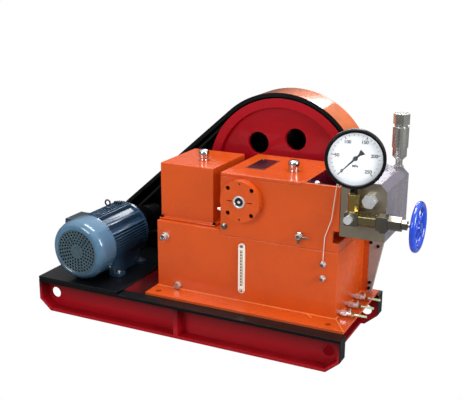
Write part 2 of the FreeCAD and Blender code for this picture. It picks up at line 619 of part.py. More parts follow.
def oil_pipes():
    """The thin drip pipe down the crankcase's front corner, and the pipe stub on the tank's left end."""
    corner_x = worth("TANK_RIGHT - bay_wall")
    wall_y = worth("tank_front + bay_wall / 2")
    ahead_y = worth("tank_front - drip_standoff")
    top = worth("HOUSING_TOP")
    radius = worth("drip_pipe_radius")
    nipple = Vector(worth("TANK_RIGHT - nut_inset"), worth("tank_front - nut_reach / 3"),
                    worth("SEAM_Z - upper_nut_drop + nut_flats / 2"))
    drip = pipe_along("DripPipe", [
        Vector(corner_x, wall_y, top),
        Vector(corner_x, wall_y, top + worth("drip_rise")),
        Vector(corner_x, ahead_y, top + worth("drip_rise / 2")),
        Vector(worth("TANK_RIGHT - rib_width"), ahead_y, top - worth("drip_drop")),
        Vector(nipple.x + 2 * radius, nipple.y, nipple.z + worth("drip_slack")),
        nipple,
    ], radius, 2.6 * radius)
    side = rod("side_pipe_radius", "side_pipe_reach", "tank_left - side_pipe_reach",
               "tank_front + side_pipe_inset", "BASE_TOP + side_pipe_rise", ALONG_X)
    keep(join(drip, side), "oil_pipes")


# Fluid end


def fluid_block():
    """The steel pump head with its bevelled edge and the blind holes for its hoses."""
    solid = block("block_length", "block_depth", "block_height", "TANK_RIGHT", "BLOCK_FRONT", "BLOCK_BOTTOM")
    body = new_body("Bevel")
    corners = [("0.1", "0.1"), ("-block_chamfer_run", "0.1"), ("0.1", "-block_chamfer_rise")]
    padded(body, polygon(sketch_on(body, "XZ_Plane"), corners), "block_depth + 2", True)
    put(body, "BLOCK_RIGHT", "BLOCK_FRONT - 1", "BLOCK_TOP")
    suction = rod("suction_radius", "suction_depth + 1", "TANK_RIGHT + valve_cap_inset",
                  "BLOCK_BACK - suction_depth", "BLOCK_BOTTOM + suction_rise", ALONG_Y)
    keep(take(solid, body, suction), "fluid_block")


def pump_plugs():
    """The valve caps on the block, its front cap, and the plug in the tee."""
    caps = [
        hexagon("valve_cap_flats", "valve_cap_height", "TANK_RIGHT + valve_cap_inset",
                f"BLOCK_MID_Y + {step} * plunger_pitch", "BLOCK_TOP")
        for step in (-1, 0, 1)
    ]
    front_cap = hexagon("cap_flats", "cap_reach", "TANK_RIGHT + cap_inset", "BLOCK_FRONT",
                        "BLOCK_TOP - cap_drop", TOWARDS_FRONT)
    tee_plug = rod("tee_plug_radius", "tee_plug_reach", "TEE_X - tee_plug_shift", "VALVE_Y - tee_width / 2",
                   "VALVE_Z", TOWARDS_FRONT)
    return [*caps, front_cap, tee_plug]


def block_support():
    """The tapered steel leg under the fluid block, bolted to the tank's rib."""
    leg_front = "TANK_BACK - leg_back_inset - leg_thick"
    body = new_body("LegPlate")
    left = "rib_width"
    height = "BLOCK_BOTTOM - BASE_TOP"
    corners = [(left, "0"), (f"{left} + leg_foot_width", "0"), (f"{left} + leg_head_width", height),
               (left, height)]
    padded(body, polygon(sketch_on(body, "XZ_Plane"), corners), "leg_thick", True)
    keep(put(body, "TANK_RIGHT", leg_front, "BASE_TOP"), "block_support_leg")


def drain_cocks():
    """Three small cocks along the foot of the tank's end, each with a hose tail."""
    height = "BASE_TOP + cock_rise"
    solids = []
    for index in range(3):
        place_y = f"tank_front + cock_first + {index} * cock_pitch"
        body = rod("cock_radius", "cock_reach * 0.55", "TANK_RIGHT", place_y, height, ALONG_X)
        nut = hexagon("cock_nut_flats", "cock_reach * 0.2", "TANK_RIGHT + cock_reach * 0.1", place_y, height,
                      ALONG_X)
        tail = rod("cock_radius / 2", "cock_reach * 0.5", "TANK_RIGHT + cock_reach * 0.5", place_y, height,
                   ALONG_X)
        key = rod("cock_radius / 2", "cock_key_height", "TANK_RIGHT + cock_reach * 0.4", place_y, height)
        solids.append(join(body, nut, tail, key))
    keep(join(*solids), "drain_cocks")


def valve_group():
    """The outlet line: tee, bar, valve body, bonnet and gland, all on one axis along X."""
    tee = block("tee_width", "tee_width", "tee_width", "TEE_X - tee_width / 2", "VALVE_Y - tee_width / 2",
                "VALVE_Z - tee_width / 2")
    nipple = rod("nipple_radius", "BLOCK_FRONT - VALVE_Y - tee_width / 2 + 1", "TEE_X",
                 "VALVE_Y + tee_width / 2 - 1", "VALVE_Z", ALONG_Y)
    keep(join(tee, nipple), "outlet_tee")
    keep(hexagon("bar_flats", "bar_length", "BAR_LEFT", "VALVE_Y", "VALVE_Z", ALONG_X), "outlet_bar")
    body = block("valve_body_length", "valve_body_width", "valve_body_height", "BODY_LEFT",
                 "VALVE_Y - valve_body_width / 2", "VALVE_Z - valve_body_height / 2 - valve_body_drop")
    low = "(VALVE_Z - valve_body_height / 2 - valve_body_drop)"
    centre = "BODY_LEFT + valve_body_length / 2"
    outlet = rod("outlet_radius", "outlet_length + 1", centre, "VALVE_Y", f"{low} - outlet_length")
    bore = rod("outlet_bore_radius", "outlet_bore_length + 1", centre, "VALVE_Y",
               f"{low} - outlet_length - 1")
    keep(take(join(body, outlet), bore), "valve_body")
    bonnet = hexagon("bonnet_flats", "bonnet_length", "BONNET_LEFT", "VALVE_Y", "VALVE_Z", ALONG_X)
    gland = hexagon("gland_nut_flats", "gland_nut_length + 1", "GLAND_LEFT - 1", "VALVE_Y", "VALVE_Z",
                    ALONG_X)
    bonnet_bore = rod("stem_radius + running_clearance", "bonnet_length / 2 + gland_nut_length + 1",
                      "BONNET_LEFT + bonnet_length / 2", "VALVE_Y", "VALVE_Z", ALONG_X)
    keep(take(join(bonnet, gland), bonnet_bore), "valve_bonnet")


def handwheel():
    """The blue handwheel with five spokes, and the stem that it turns."""
    centre_radius = "(handwheel_radius - handwheel_rim)"
    rim = bind(doc.addObject("Part::Torus", "Rim"), Radius1=centre_radius, Radius2="handwheel_rim")
    put(rim, "HANDWHEEL_X", "VALVE_Y", "VALVE_Z", ALONG_X)
    hub = rod("handwheel_hub_radius", "handwheel_hub_length", "HANDWHEEL_X - handwheel_hub_length / 2",
              "VALVE_Y", "VALVE_Z", ALONG_X)
    spokes = [
        rod("handwheel_spoke_radius", centre_radius, "HANDWHEEL_X", "VALVE_Y", "VALVE_Z",
            Rotation(Vector(1, 0, 0), 72 * index + 18))
        for index in range(5)
    ]
    socket = rod("stem_radius", "handwheel_hub_length + 2", "HANDWHEEL_X - handwheel_hub_length / 2 - 1",
                 "VALVE_Y", "VALVE_Z", ALONG_X)
    keep(take(join(rim, hub, *spokes), socket), "handwheel")
    stem_left = "BONNET_LEFT + bonnet_length / 2 + 1"
    keep(rod("stem_radius", f"HANDWHEEL_X + handwheel_hub_length / 2 - ({stem_left})", stem_left, "VALVE_Y",
             "VALVE_Z", ALONG_X), "valve_stem")


def safety_valve():
    """The tall relief valve on the block: foot nut, neck, spring barrel, groove and cap."""
    levels = ["0"]
    for part in ("neck", "cone", "low", "barrel", "groove"):
        levels.append(f"{levels[-1]} + safety_{part}_height")
    profile = [
        ("0", levels[0]),
        ("safety_neck_radius", levels[0]),
        ("safety_neck_radius", levels[1]),
        ("safety_low_radius", levels[2]),
        ("safety_low_radius", levels[3]),
        ("safety_radius", levels[3]),
        ("safety_radius", levels[4]),
        ("safety_groove_radius", levels[4]),
        ("safety_groove_radius", levels[5]),
        ("0", levels[5]),
    ]
    barrel_foot = "BLOCK_TOP + safety_foot_height"
    keep(join(hexagon("safety_foot_flats", "safety_foot_height", "SAFETY_X", "SAFETY_Y", "BLOCK_TOP"),
              turned("SafetyBarrel", profile, "SAFETY_X", "SAFETY_Y", barrel_foot),
              hexagon("safety_cap_flats", "safety_cap_height", "SAFETY_X", "SAFETY_Y",
                      f"{barrel_foot} + {levels[5]}")), "safety_valve")


def gauge_place(thing, ahead, across, up, spin=0):
    """Place a gauge piece in the gauge's own turned frame, measured from its stem's axis."""
    turn = Rotation(Vector(0, 0, 1), worth("gauge_turn")) * TOWARDS_FRONT * Rotation(Vector(0, 0, 1), spin)
    thing.Placement = Placement(Vector(), turn)
    sine = "sin(gauge_turn * 1deg)"
    cosine = "cos(gauge_turn * 1deg)"
    thing.setExpression("Placement.Base.x",
                        spelled(f"TEE_X + ({ahead}) * {sine} + ({across}) * {cosine} - ORIGIN_X"))
    thing.setExpression("Placement.Base.y",
                        spelled(f"VALVE_Y - ({ahead}) * {cosine} + ({across}) * {sine} - ORIGIN_Y"))
    thing.setExpression("Placement.Base.z", spelled(up))
    return thing


def gauge():
    """The large dial gauge: case with its boss, bezel, dial, glass, and the nuts under it."""
    def spun(name, profile, ahead):
        """Turn a round gauge piece whose Z axis points out of the dial."""
        return gauge_place(turned(name, profile, "0", "0", "0"), ahead, "0", "GAUGE_Z")

    wall = "gauge_case_wall"
    inner = f"(gauge_case_radius - {wall})"
    back = "(gauge_front_reach - gauge_case_depth)"
    dial_ahead = "(gauge_front_reach - gauge_bezel_depth)"
    dial_height = f"({dial_ahead} - {back})"
    case = spun("CaseShell", [
        ("0", "0"),
        ("gauge_case_radius - gauge_case_bevel", "0"),
        ("gauge_case_radius", "gauge_case_bevel"),
        ("gauge_case_radius", dial_height),
        (inner, dial_height),
        (inner, wall),
        ("0", wall),
    ], back)
    dial = spun("DialPlate", [
        ("0", "-gauge_dial_plate"), (inner, "-gauge_dial_plate"), (inner, "0"), ("0", "0"),
    ], dial_ahead)
    hollow = spun("CaseHollow", [
        ("0", wall), (inner, wall), (inner, dial_height), ("0", dial_height),
    ], back)
    nut_foot = "(VALVE_Z + tee_width / 2)"
    boss_foot = f"({nut_foot} + gauge_nut_height + gauge_collar_height)"
    boss = block("gauge_boss_side", "gauge_boss_side", f"GAUGE_Z - {inner} + {wall} - {boss_foot}",
                 "TEE_X - gauge_boss_side / 2", "VALVE_Y - gauge_boss_side / 2", boss_foot)
    keep(join(case, dial, take(boss, hollow)), "gauge_case")
    window = "(gauge_radius - gauge_rim_width)"
    glass_ahead = "gauge_bezel_depth - gauge_rim_lip"
    keep(spun("Bezel", [
        (inner, "0"),
        ("gauge_radius", "0"),
        ("gauge_radius", glass_ahead),
        ("gauge_radius - gauge_rim_lip", "gauge_bezel_depth"),
        (window, "gauge_bezel_depth"),
        (window, glass_ahead),
        (inner, glass_ahead),
    ], dial_ahead), "gauge_bezel")
    keep(spun("Glass", [
        ("0", "-gauge_glass_plate"), (inner, "-gauge_glass_plate"), (inner, "0"), ("0", "0"),
    ], f"{dial_ahead} + {glass_ahead}"), "gauge_glass")
    keep(join(hexagon("gauge_nut_flats", "gauge_nut_height", "TEE_X", "VALVE_Y", nut_foot),
              hexagon("gauge_collar_flats", "gauge_collar_height", "TEE_X", "VALVE_Y",
                      f"{nut_foot} + gauge_nut_height")), "gauge_nuts")
    pointer()


def pointer():
    """The pointer in front of the dial, at its rest mark low on the left."""
    body = new_body("PointerBlade")
    blade = polygon(sketch_on(body, "XY_Plane"), [
        ("-pointer_tail_width / 2", "-pointer_tail"),
        ("pointer_tail_width / 2", "-pointer_tail"),
        ("pointer_width / 2", "-pointer_tail / 2"),
        ("pointer_width / 2", "0"),
        ("pointer_tip_width / 2", "pointer_length"),
        ("-pointer_tip_width / 2", "pointer_length"),
        ("-pointer_width / 2", "0"),
        ("-pointer_width / 2", "-pointer_tail / 2"),
    ])
    padded(body, blade, "pointer_plate")
    padded(body, ring_mark(sketch_on(body, "XY_Plane"), "0", "0", "pointer_hub_radius"), "2 * pointer_plate")
    ahead = "gauge_front_reach - gauge_bezel_depth + face_gap"
    keep(gauge_place(body, ahead, "0", "GAUGE_Z", POINTER_REST), "gauge_pointer")


# Motor


def motor_fins():
    """The frame's fins: level ones on both sides, a few upright ones on top, tips on one circle."""
    fins = []
    for index in range(int(worth("motor_side_fin_count"))):
        lift = f"({index} - (motor_side_fin_count - 1) / 2) * motor_fin_pitch - motor_fin_thick / 2"
        fins.append(block("2 * motor_fin_radius", "FRAME_LENGTH", "motor_fin_thick",
                          "motor_x - motor_fin_radius", "FRAME_FRONT", f"MOTOR_Z + {lift}"))
    for index in range(int(worth("motor_top_fin_count"))):
        fins.append(block("motor_fin_thick", "FRAME_LENGTH", "motor_fin_radius",
                          f"motor_x + motor_pad_left - ({index} + 1) * motor_fin_pitch", "FRAME_FRONT",
                          "MOTOR_Z"))
    limit = rod("motor_fin_radius", "FRAME_LENGTH", "motor_x", "FRAME_FRONT", "MOTOR_Z", ALONG_Y)
    trimmed = doc.addObject("Part::Common", "TrimmedFins")
    trimmed.Base = join(*fins)
    trimmed.Tool = limit
    return trimmed


def motor():
    """The finned motor with its shield, feet and terminal box."""
    core = rod("motor_body_radius", "FRAME_LENGTH", "motor_x", "FRAME_FRONT", "MOTOR_Z", ALONG_Y)
    pad = block("motor_pad_right - motor_pad_left", "FRAME_LENGTH", "motor_pad_height",
                "motor_x + motor_pad_left", "FRAME_FRONT", "MOTOR_Z")
    feet = []
    bolts = []
    for side in (-1, 1):
        for index in (0, 1):
            place_x = f"motor_x + {side} * motor_foot_spread / 2"
            place_y = f"motor_front + motor_foot_first + {index} * motor_foot_pitch"
            feet.append(block("motor_foot_pad", "motor_foot_pad", "motor_foot_plate",
                              f"{place_x} - motor_foot_pad / 2", f"{place_y} - motor_foot_pad / 2",
                              "DECK_TOP"))
            bolts.append(rod("motor_foot_bolt_radius", "motor_foot_plate + 2", place_x, place_y,
                             "DECK_TOP - 1"))
        rail_x = f"motor_x + {side} * (motor_foot_spread / 2 - motor_rail_inset) - motor_rail_width / 2"
        feet.append(block("motor_rail_width", "motor_foot_pitch + motor_foot_pad", "motor_rail_height",
                          rail_x, "motor_front + motor_foot_first - motor_foot_pad / 2", "DECK_TOP"))
    keep(take(join(core, motor_fins(), pad, *feet), *bolts), "motor_frame")
    shield = [
        ("motor_shaft_radius + running_clearance", "0"),
        ("motor_shield_radius", "0"),
        ("motor_shield_radius", "motor_shield_length / 2"),
        ("motor_shield_neck_radius", "motor_shield_length * 0.8"),
        ("motor_shield_neck_radius", "motor_shield_length"),
        ("motor_shaft_radius + running_clearance", "motor_shield_length"),
    ]
    keep(turned("DriveShield", shield, "motor_x", "SHAFT_ROOT - motor_shield_length", "MOTOR_Z", ALONG_Y),
         "motor_drive_shield")
    terminal = block("terminal_width", "terminal_length", "terminal_height", "motor_x - terminal_side",
                     "motor_front + terminal_first", "MOTOR_Z - terminal_drop")
    carve = rod("motor_fin_radius + terminal_gap", "FRAME_LENGTH", "motor_x", "FRAME_FRONT", "MOTOR_Z",
                ALONG_Y)
    keep(take(terminal, carve), "terminal_box")


def cowl():
    """The fan cowl: a thin cup with a rounded shoulder, and the perforated grille set into its front."""
    shoulder = [(f"sin({angle}deg)", f"(1 - cos({angle}deg))") for angle in SHOULDER_ANGLES]
    outside = [
        (f"motor_grille_radius + (motor_cowl_radius - motor_grille_radius) * {out}",
         f"cowl_shoulder * {back}")
        for out, back in shoulder
    ]
    inside = [
        (f"motor_grille_radius + (motor_cowl_radius - motor_cowl_sheet - motor_grille_radius) * {out}",
         f"motor_cowl_sheet + grille_recess + cowl_seat + cowl_shoulder * {back}")
        for out, back in shoulder
    ]
    cup = turned("CowlCup", [
        *outside,
        ("motor_cowl_radius", "motor_cowl_length"),
        ("motor_cowl_radius - motor_cowl_sheet", "motor_cowl_length"),
        *reversed(inside),
    ], "motor_x", "motor_front", "MOTOR_Z", ALONG_Y)
    grille = new_body("Grille")
    padded(grille, ring_mark(sketch_on(grille, "XY_Plane"), "0", "0", "motor_grille_radius + 1"),
           "motor_cowl_sheet")
    for ring in range(5):
        ring_radius = f"(grille_first_ring + {ring} * grille_ring_pitch)"
        count = f"grille_rib_count * ({ring} + 3)"
        half_step = f"(180deg / ({count}))"
        hole = ring_mark(sketch_on(grille, "XY_Plane"), f"{ring_radius} * sin{half_step}",
                         f"{ring_radius} * cos{half_step}", "grille_hole_radius")
        around(grille, pocketed(grille, hole, "motor_cowl_sheet + 1", True), count)
    put(grille, "motor_x", "motor_front + grille_recess", "MOTOR_Z", ALONG_Y)
    rib_depth = "(grille_recess - grille_rib_setback + 1)"
    ribs = spoked("GrilleRibs", "grille_hub_radius", rib_depth, [
        ("-grille_rib_width / 2", "grille_hub_radius - 1"),
        ("grille_rib_width / 2", "grille_hub_radius - 1"),
        ("grille_rib_width / 2", "motor_grille_radius + 1"),
        ("-grille_rib_width / 2", "motor_grille_radius + 1"),
    ], rib_depth, "grille_rib_count")
    put(ribs, "motor_x", "motor_front + grille_rib_setback", "MOTOR_Z", ALONG_Y)
    dish = rod("grille_hub_bore", "grille_recess + 1", "motor_x", "motor_front - 1", "MOTOR_Z", ALONG_Y)
    keep(take(join(cup, grille, ribs), dish), "motor_fan_cowl")


def motor_fan():
    """The fan behind the grille, on the tail of the motor's shaft."""
    fan_front = "(motor_front + grille_recess + motor_cowl_sheet + fan_gap)"
    fan = spoked("FanBlades", "fan_core_radius", "fan_depth", [
        ("-fan_sheet / 2", "fan_core_radius - 2"),
        ("fan_sheet / 2", "fan_core_radius - 2"),
        ("fan_sheet / 2", "fan_radius"),
        ("-fan_sheet / 2", "fan_radius"),
    ], "fan_depth", "fan_blade_count")
    put(fan, "motor_x", fan_front, "MOTOR_Z", ALONG_Y)
    plate = rod("fan_radius", "fan_sheet", "motor_x", f"{fan_front} + fan_depth - fan_sheet", "MOTOR_Z",
                ALONG_Y)
    tail = rod("motor_shaft_radius", f"FRAME_FRONT - {fan_front} - face_gap", "motor_x", fan_front, "MOTOR_Z",
               ALONG_Y)
    keep(join(fan, plate, tail), "motor_fan")


# Belt drive


def groove_corners(radius):
    """The (radius, width) corners of the V grooves along a rim, front to back."""
    corners = []
    for index in range(int(worth("belt_count"))):
        centre = f"(groove_first + {index} * groove_pitch)"
        corners += [
            (radius, f"{centre} - groove_mouth / 2"),
            (f"{radius} - groove_depth", f"{centre} - groove_floor / 2"),
            (f"{radius} - groove_depth", f"{centre} + groove_floor / 2"),
            (radius, f"{centre} + groove_mouth / 2"),
        ]
    return corners


def belt_wheel():
    """The large red belt wheel: its grooved rim, the web with six holes, and the crank end."""
    web_back = "(wheel_web_setback + wheel_web_thick)"
    keep(turned("WheelRim", [
        ("WHEEL_STEP_RADIUS", "0"),
        ("wheel_radius", "0"),
        *groove_corners("wheel_radius"),
        ("wheel_radius", "wheel_width"),
        ("WHEEL_STEP_RADIUS", "wheel_width"),
    ], "DRIVE_X", "WHEEL_FRONT", "DRIVE_Z", ALONG_Y), "belt_wheel_rim")
    web = turned("WheelWeb", [
        ("crank_radius", "wheel_hub_setback"),
        ("wheel_hub_radius", "wheel_hub_setback"),
        ("wheel_hub_radius", "wheel_web_setback"),
        ("WHEEL_STEP_RADIUS", "wheel_web_setback"),
        ("WHEEL_STEP_RADIUS", web_back),
        ("wheel_hub_radius", web_back),
        ("wheel_hub_radius", "wheel_width"),
        ("crank_radius", "wheel_width"),
    ], "DRIVE_X", "WHEEL_FRONT", "DRIVE_Z", ALONG_Y)
    angle = "wheel_hole_angle * 1deg"
    hole = ring_mark(sketch_on(web, "XY_Plane"), f"wheel_hole_circle * cos({angle})",
                     f"-wheel_hole_circle * sin({angle})", "wheel_hole_radius")
    cut = pocketed(web, hole, f"{web_back} + 2", True)
    around(web, cut, "6")
    keep(web, "belt_wheel_web")
    keep(rod("crank_radius", "WHEEL_FRONT + wheel_width + crank_stub - (TANK_BACK - crank_insert)", "DRIVE_X",
             "TANK_BACK - crank_insert", "DRIVE_Z", ALONG_Y), "crank_shaft")


def motor_pulley():
    """The small grooved pulley and the shaft that it sits on."""
    lead = "(groove_first - groove_pitch / 2)"
    corners = [(radius, f"({width}) - {lead}") for radius, width in groove_corners("pulley_radius")]
    profile = [
        ("motor_shaft_radius", "-pulley_hub_length"),
        ("pulley_hub_radius", "-pulley_hub_length"),
        ("pulley_hub_radius", "0"),
        ("pulley_radius", "0"),
        *corners,
        ("pulley_radius", "PULLEY_WIDTH"),
        ("motor_shaft_radius", "PULLEY_WIDTH"),
    ]
    keep(turned("SmallPulley", profile, "motor_x", "PULLEY_FRONT", "MOTOR_Z", ALONG_Y), "motor_pulley")
    shaft_front = "(SHAFT_ROOT - motor_shield_length + face_gap)"
    keep(rod("motor_shaft_radius", f"PULLEY_FRONT + PULLEY_WIDTH - {shaft_front}", "motor_x", shaft_front,
             "MOTOR_Z", ALONG_Y), "motor_shaft")


def loop_face(large, small):
    """The face inside a band round two circles, with straight tangents between them."""
    low = Vector(worth("motor_x"), 0, worth("MOTOR_Z"))
    high = Vector(worth("DRIVE_X"), 0, worth("DRIVE_Z"))
    span = high - low
    tilt = math.atan2(span.z, span.x)
    spread = math.acos((large - small) / span.Length)

    def on(centre, radius, angle):
        """A point on one of the two circles."""
        return centre + Vector(radius * math.cos(angle), 0, radius * math.sin(angle))

    upper = tilt + math.pi - spread
    lower = tilt + math.pi + spread
    edges = [
        Part.Arc(on(high, large, lower), on(high, large, tilt), on(high, large, upper)).toShape(),
        Part.LineSegment(on(high, large, upper), on(low, small, upper)).toShape(),
        Part.Arc(on(low, small, upper), on(low, small, tilt + math.pi), on(low, small, lower)).toShape(),
        Part.LineSegment(on(low, small, lower), on(high, large, lower)).toShape(),
    ]
    return Part.Face(Part.Wire(edges))


def band(outer, inner, depth):
    """A closed band between two loops, given as (large, small) radii."""
    solid = loop_face(*outer).extrude(Vector(0, depth, 0))
    return solid.cut(loop_face(*inner).extrude(Vector(0, depth, 0)))


def belts():
    """The set of V belts, each a fixed loop clear of the grooves it runs in."""
    outer = (worth("wheel_radius + belt_crown"), worth("pulley_radius + belt_crown"))
    inner = (outer[0] - worth("belt_depth"), outer[1] - worth("belt_depth"))
    loops = []
    for index in range(int(worth("belt_count"))):
        loop = band(outer, inner, worth("belt_width"))
        front = worth(f"WHEEL_FRONT + groove_first + {index} * groove_pitch - belt_width / 2")
        loop.translate(Vector(0, front, 0))
        loops.append(loop)
    keep(custom("Belts", Part.makeCompound(loops), "0", "0", "0"), "drive_belts")


def guard():
    """The belt guard: a band with its front lip, two feet and an apron, and a back plate."""
    sheet_thick = worth("guard_sheet")
    outer = (worth("GUARD_RADIUS"), worth("GUARD_SMALL_RADIUS"))
    inner = (outer[0] - sheet_thick, outer[1] - sheet_thick)
    lip_width = worth("guard_wheel_space - guard_wheel_gap")
    mouth = (outer[0] - lip_width, outer[1] - lip_width)
    depth = worth("guard_depth")
    rim = custom("GuardRim", band(outer, inner, depth - 2 * sheet_thick), "0",
                 "WHEEL_FRONT + guard_sheet", "0")
    lip = custom("GuardLip", band(outer, mouth, sheet_thick), "0", "WHEEL_FRONT", "0")
    back = loop_face(*outer).extrude(Vector(0, sheet_thick, 0))
    keep(custom("GuardBack", back, "0", "GUARD_BACK - guard_sheet", "0"), "guard_back_plate")
    envelope = custom("GuardEnvelope", loop_face(*outer).extrude(Vector(0, depth, 0)), "0",
                      "WHEEL_FRONT", "0")
    feet = []
    for place_x, grip, floor, rim_foot in (
            ("motor_x", "guard_left_grip", "DECK_TOP", "MOTOR_Z - GUARD_SMALL_RADIUS"),
            ("DRIVE_X", "guard_right_grip", "skid_height", "DRIVE_Z - GUARD_RADIUS")):
        feet.append(block("guard_foot_width", f"{grip} + guard_foot_reach", "guard_foot_plate",
                          f"{place_x} - guard_foot_width / 2", f"SKID_WIDTH - {grip}", floor))
        feet.append(block("guard_foot_width", "guard_foot_plate", f"{rim_foot} + guard_foot_lap - {floor}",
                          f"{place_x} - guard_foot_width / 2",
                          "SKID_WIDTH + guard_foot_reach - guard_foot_plate", floor))
    apron_left = "(motor_x - guard_foot_width / 2)"
    feet.append(block(f"BASE_LEFT - guard_apron_gap - {apron_left}", "guard_apron_plate",
                      "MOTOR_Z - GUARD_SMALL_RADIUS + guard_apron_lap - skid_height", apron_left,
                      "SKID_WIDTH", "skid_height"))
    keep(join(rim, lip, take(join(*feet), envelope)), "guard_band")


def check_and_write():
    """Check every object's state and every sub-part's shape, then write the files."""
    doc.recompute()
    broken = [thing.Name for thing in doc.Objects if {"Invalid", "Error"} & set(thing.State)]
    if broken:
        raise RuntimeError(f"objects that failed: {broken}")
    labels = [thing.Label for thing in finished]
    if len(set(labels)) != len(labels):
        raise RuntimeError("two sub-parts share a name")
    for thing in finished:
        if thing.Shape.isNull() or not thing.Shape.isValid() or not thing.Shape.Solids:
            raise RuntimeError(f"{thing.Label} has no valid solid")
    os.makedirs("parts", exist_ok=True)
    for thing in finished:
        thing.Shape.exportStep(f"parts/{thing.Label}.step")
    print(f"wrote {len(finished)} sub-parts")


fill_sheet()
skid()
base_flange()
tank()
left_box()
housing()
plungers()
bearing_cover()
breathers()
level_gauge()
front_fittings()
oil_pipes()
fluid_block()
keep(join(*tank_plugs(), *pump_plugs()), "pipe_plugs")
block_support()
drain_cocks()
valve_group()
handwheel()
safety_valve()
gauge()
motor()
cowl()
motor_fan()
belt_wheel()
motor_pulley()
belts()
guard()
check_and_write()
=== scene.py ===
"""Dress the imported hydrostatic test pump: finishes, fasteners, dial print, studio and camera.

Sizes are written in millimetres from the skid's left front floor corner, as on the shop drawing, and
turned to metres in the frame's own axes by the ``Site`` class.
"""

from __future__ import annotations

import logging
import math
from dataclasses import dataclass, field, replace
from enum import Enum
from functools import lru_cache
from itertools import repeat
from typing import Callable, Sequence

import bmesh
import bpy
from mathutils import Matrix, Vector


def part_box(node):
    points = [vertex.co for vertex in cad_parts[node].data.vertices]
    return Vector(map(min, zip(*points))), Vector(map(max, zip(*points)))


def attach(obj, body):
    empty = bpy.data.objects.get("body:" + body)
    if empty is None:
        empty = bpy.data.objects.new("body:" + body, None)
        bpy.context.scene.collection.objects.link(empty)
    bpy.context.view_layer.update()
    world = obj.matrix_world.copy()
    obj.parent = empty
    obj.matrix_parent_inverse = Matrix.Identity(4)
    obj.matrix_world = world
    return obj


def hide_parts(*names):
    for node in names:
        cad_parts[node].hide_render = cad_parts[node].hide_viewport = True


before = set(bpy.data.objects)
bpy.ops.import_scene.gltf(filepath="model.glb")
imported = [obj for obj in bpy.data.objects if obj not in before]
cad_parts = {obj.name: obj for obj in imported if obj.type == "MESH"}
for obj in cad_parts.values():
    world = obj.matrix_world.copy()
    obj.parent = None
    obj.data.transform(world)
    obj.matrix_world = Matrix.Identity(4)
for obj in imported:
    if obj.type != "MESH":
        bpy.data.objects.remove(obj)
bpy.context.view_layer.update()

LOG = logging.getLogger("test_pump")
MM = 0.001
UP = Vector((0, 0, 1))
RIGHT = Vector((1, 0, 0))
FRONT = Vector((0, -1, 0))
SIGNS = ((-1, -1), (-1, 1), (1, -1), (1, 1))
WHITE = (1, 1, 1, 1)
SMOOTH_DEG = 35.0
# The slow noise of every finish: its detail and roughness, and the bands of it that change gloss and tone.
DRIFT_DETAIL = 3.0
DRIFT_ROUGHNESS = 0.55
GLOSS_BAND = (0.3, 0.7)
TONE_BAND = (0.35, 0.75)
GLOSS_LEAST = 0.85
GLOSS_MOST = 1.2
BUMP_STRENGTH = 0.6
COAT_ROUGHNESS = 0.06

Color = tuple[float, float, float, float]
FaceTest = Callable[[Vector, Vector], bool]
Node = bpy.types.Node
Pair = tuple[float, float]
Pairs = Sequence[Pair]
Point = tuple[float, float, float]
Socket = bpy.types.NodeSocket
Thing = bpy.types.Object
Tree = bpy.types.NodeTree


def linear(hex_color: str, alpha: float = 1.0) -> Color:
    """Turn an sRGB hex colour into linear values.

    Args:
        hex_color: six hex digits, with or without a leading mark.
        alpha: opacity from 0 to 1.

    Returns:
        Red, green, blue and alpha, linear.
    """
    digits = hex_color.lstrip("#")
    channels = [int(digits[index:index + 2], 16) / 255 for index in (0, 2, 4)]
    red, green, blue = (c / 12.92 if c <= 0.04045 else ((c + 0.055) / 1.055) ** 2.4 for c in channels)
    return (red, green, blue, alpha)


def circle(count: int) -> list[float]:
    """Angles that part a full turn evenly, in radians."""
    return [2 * math.pi * index / count for index in range(count)]


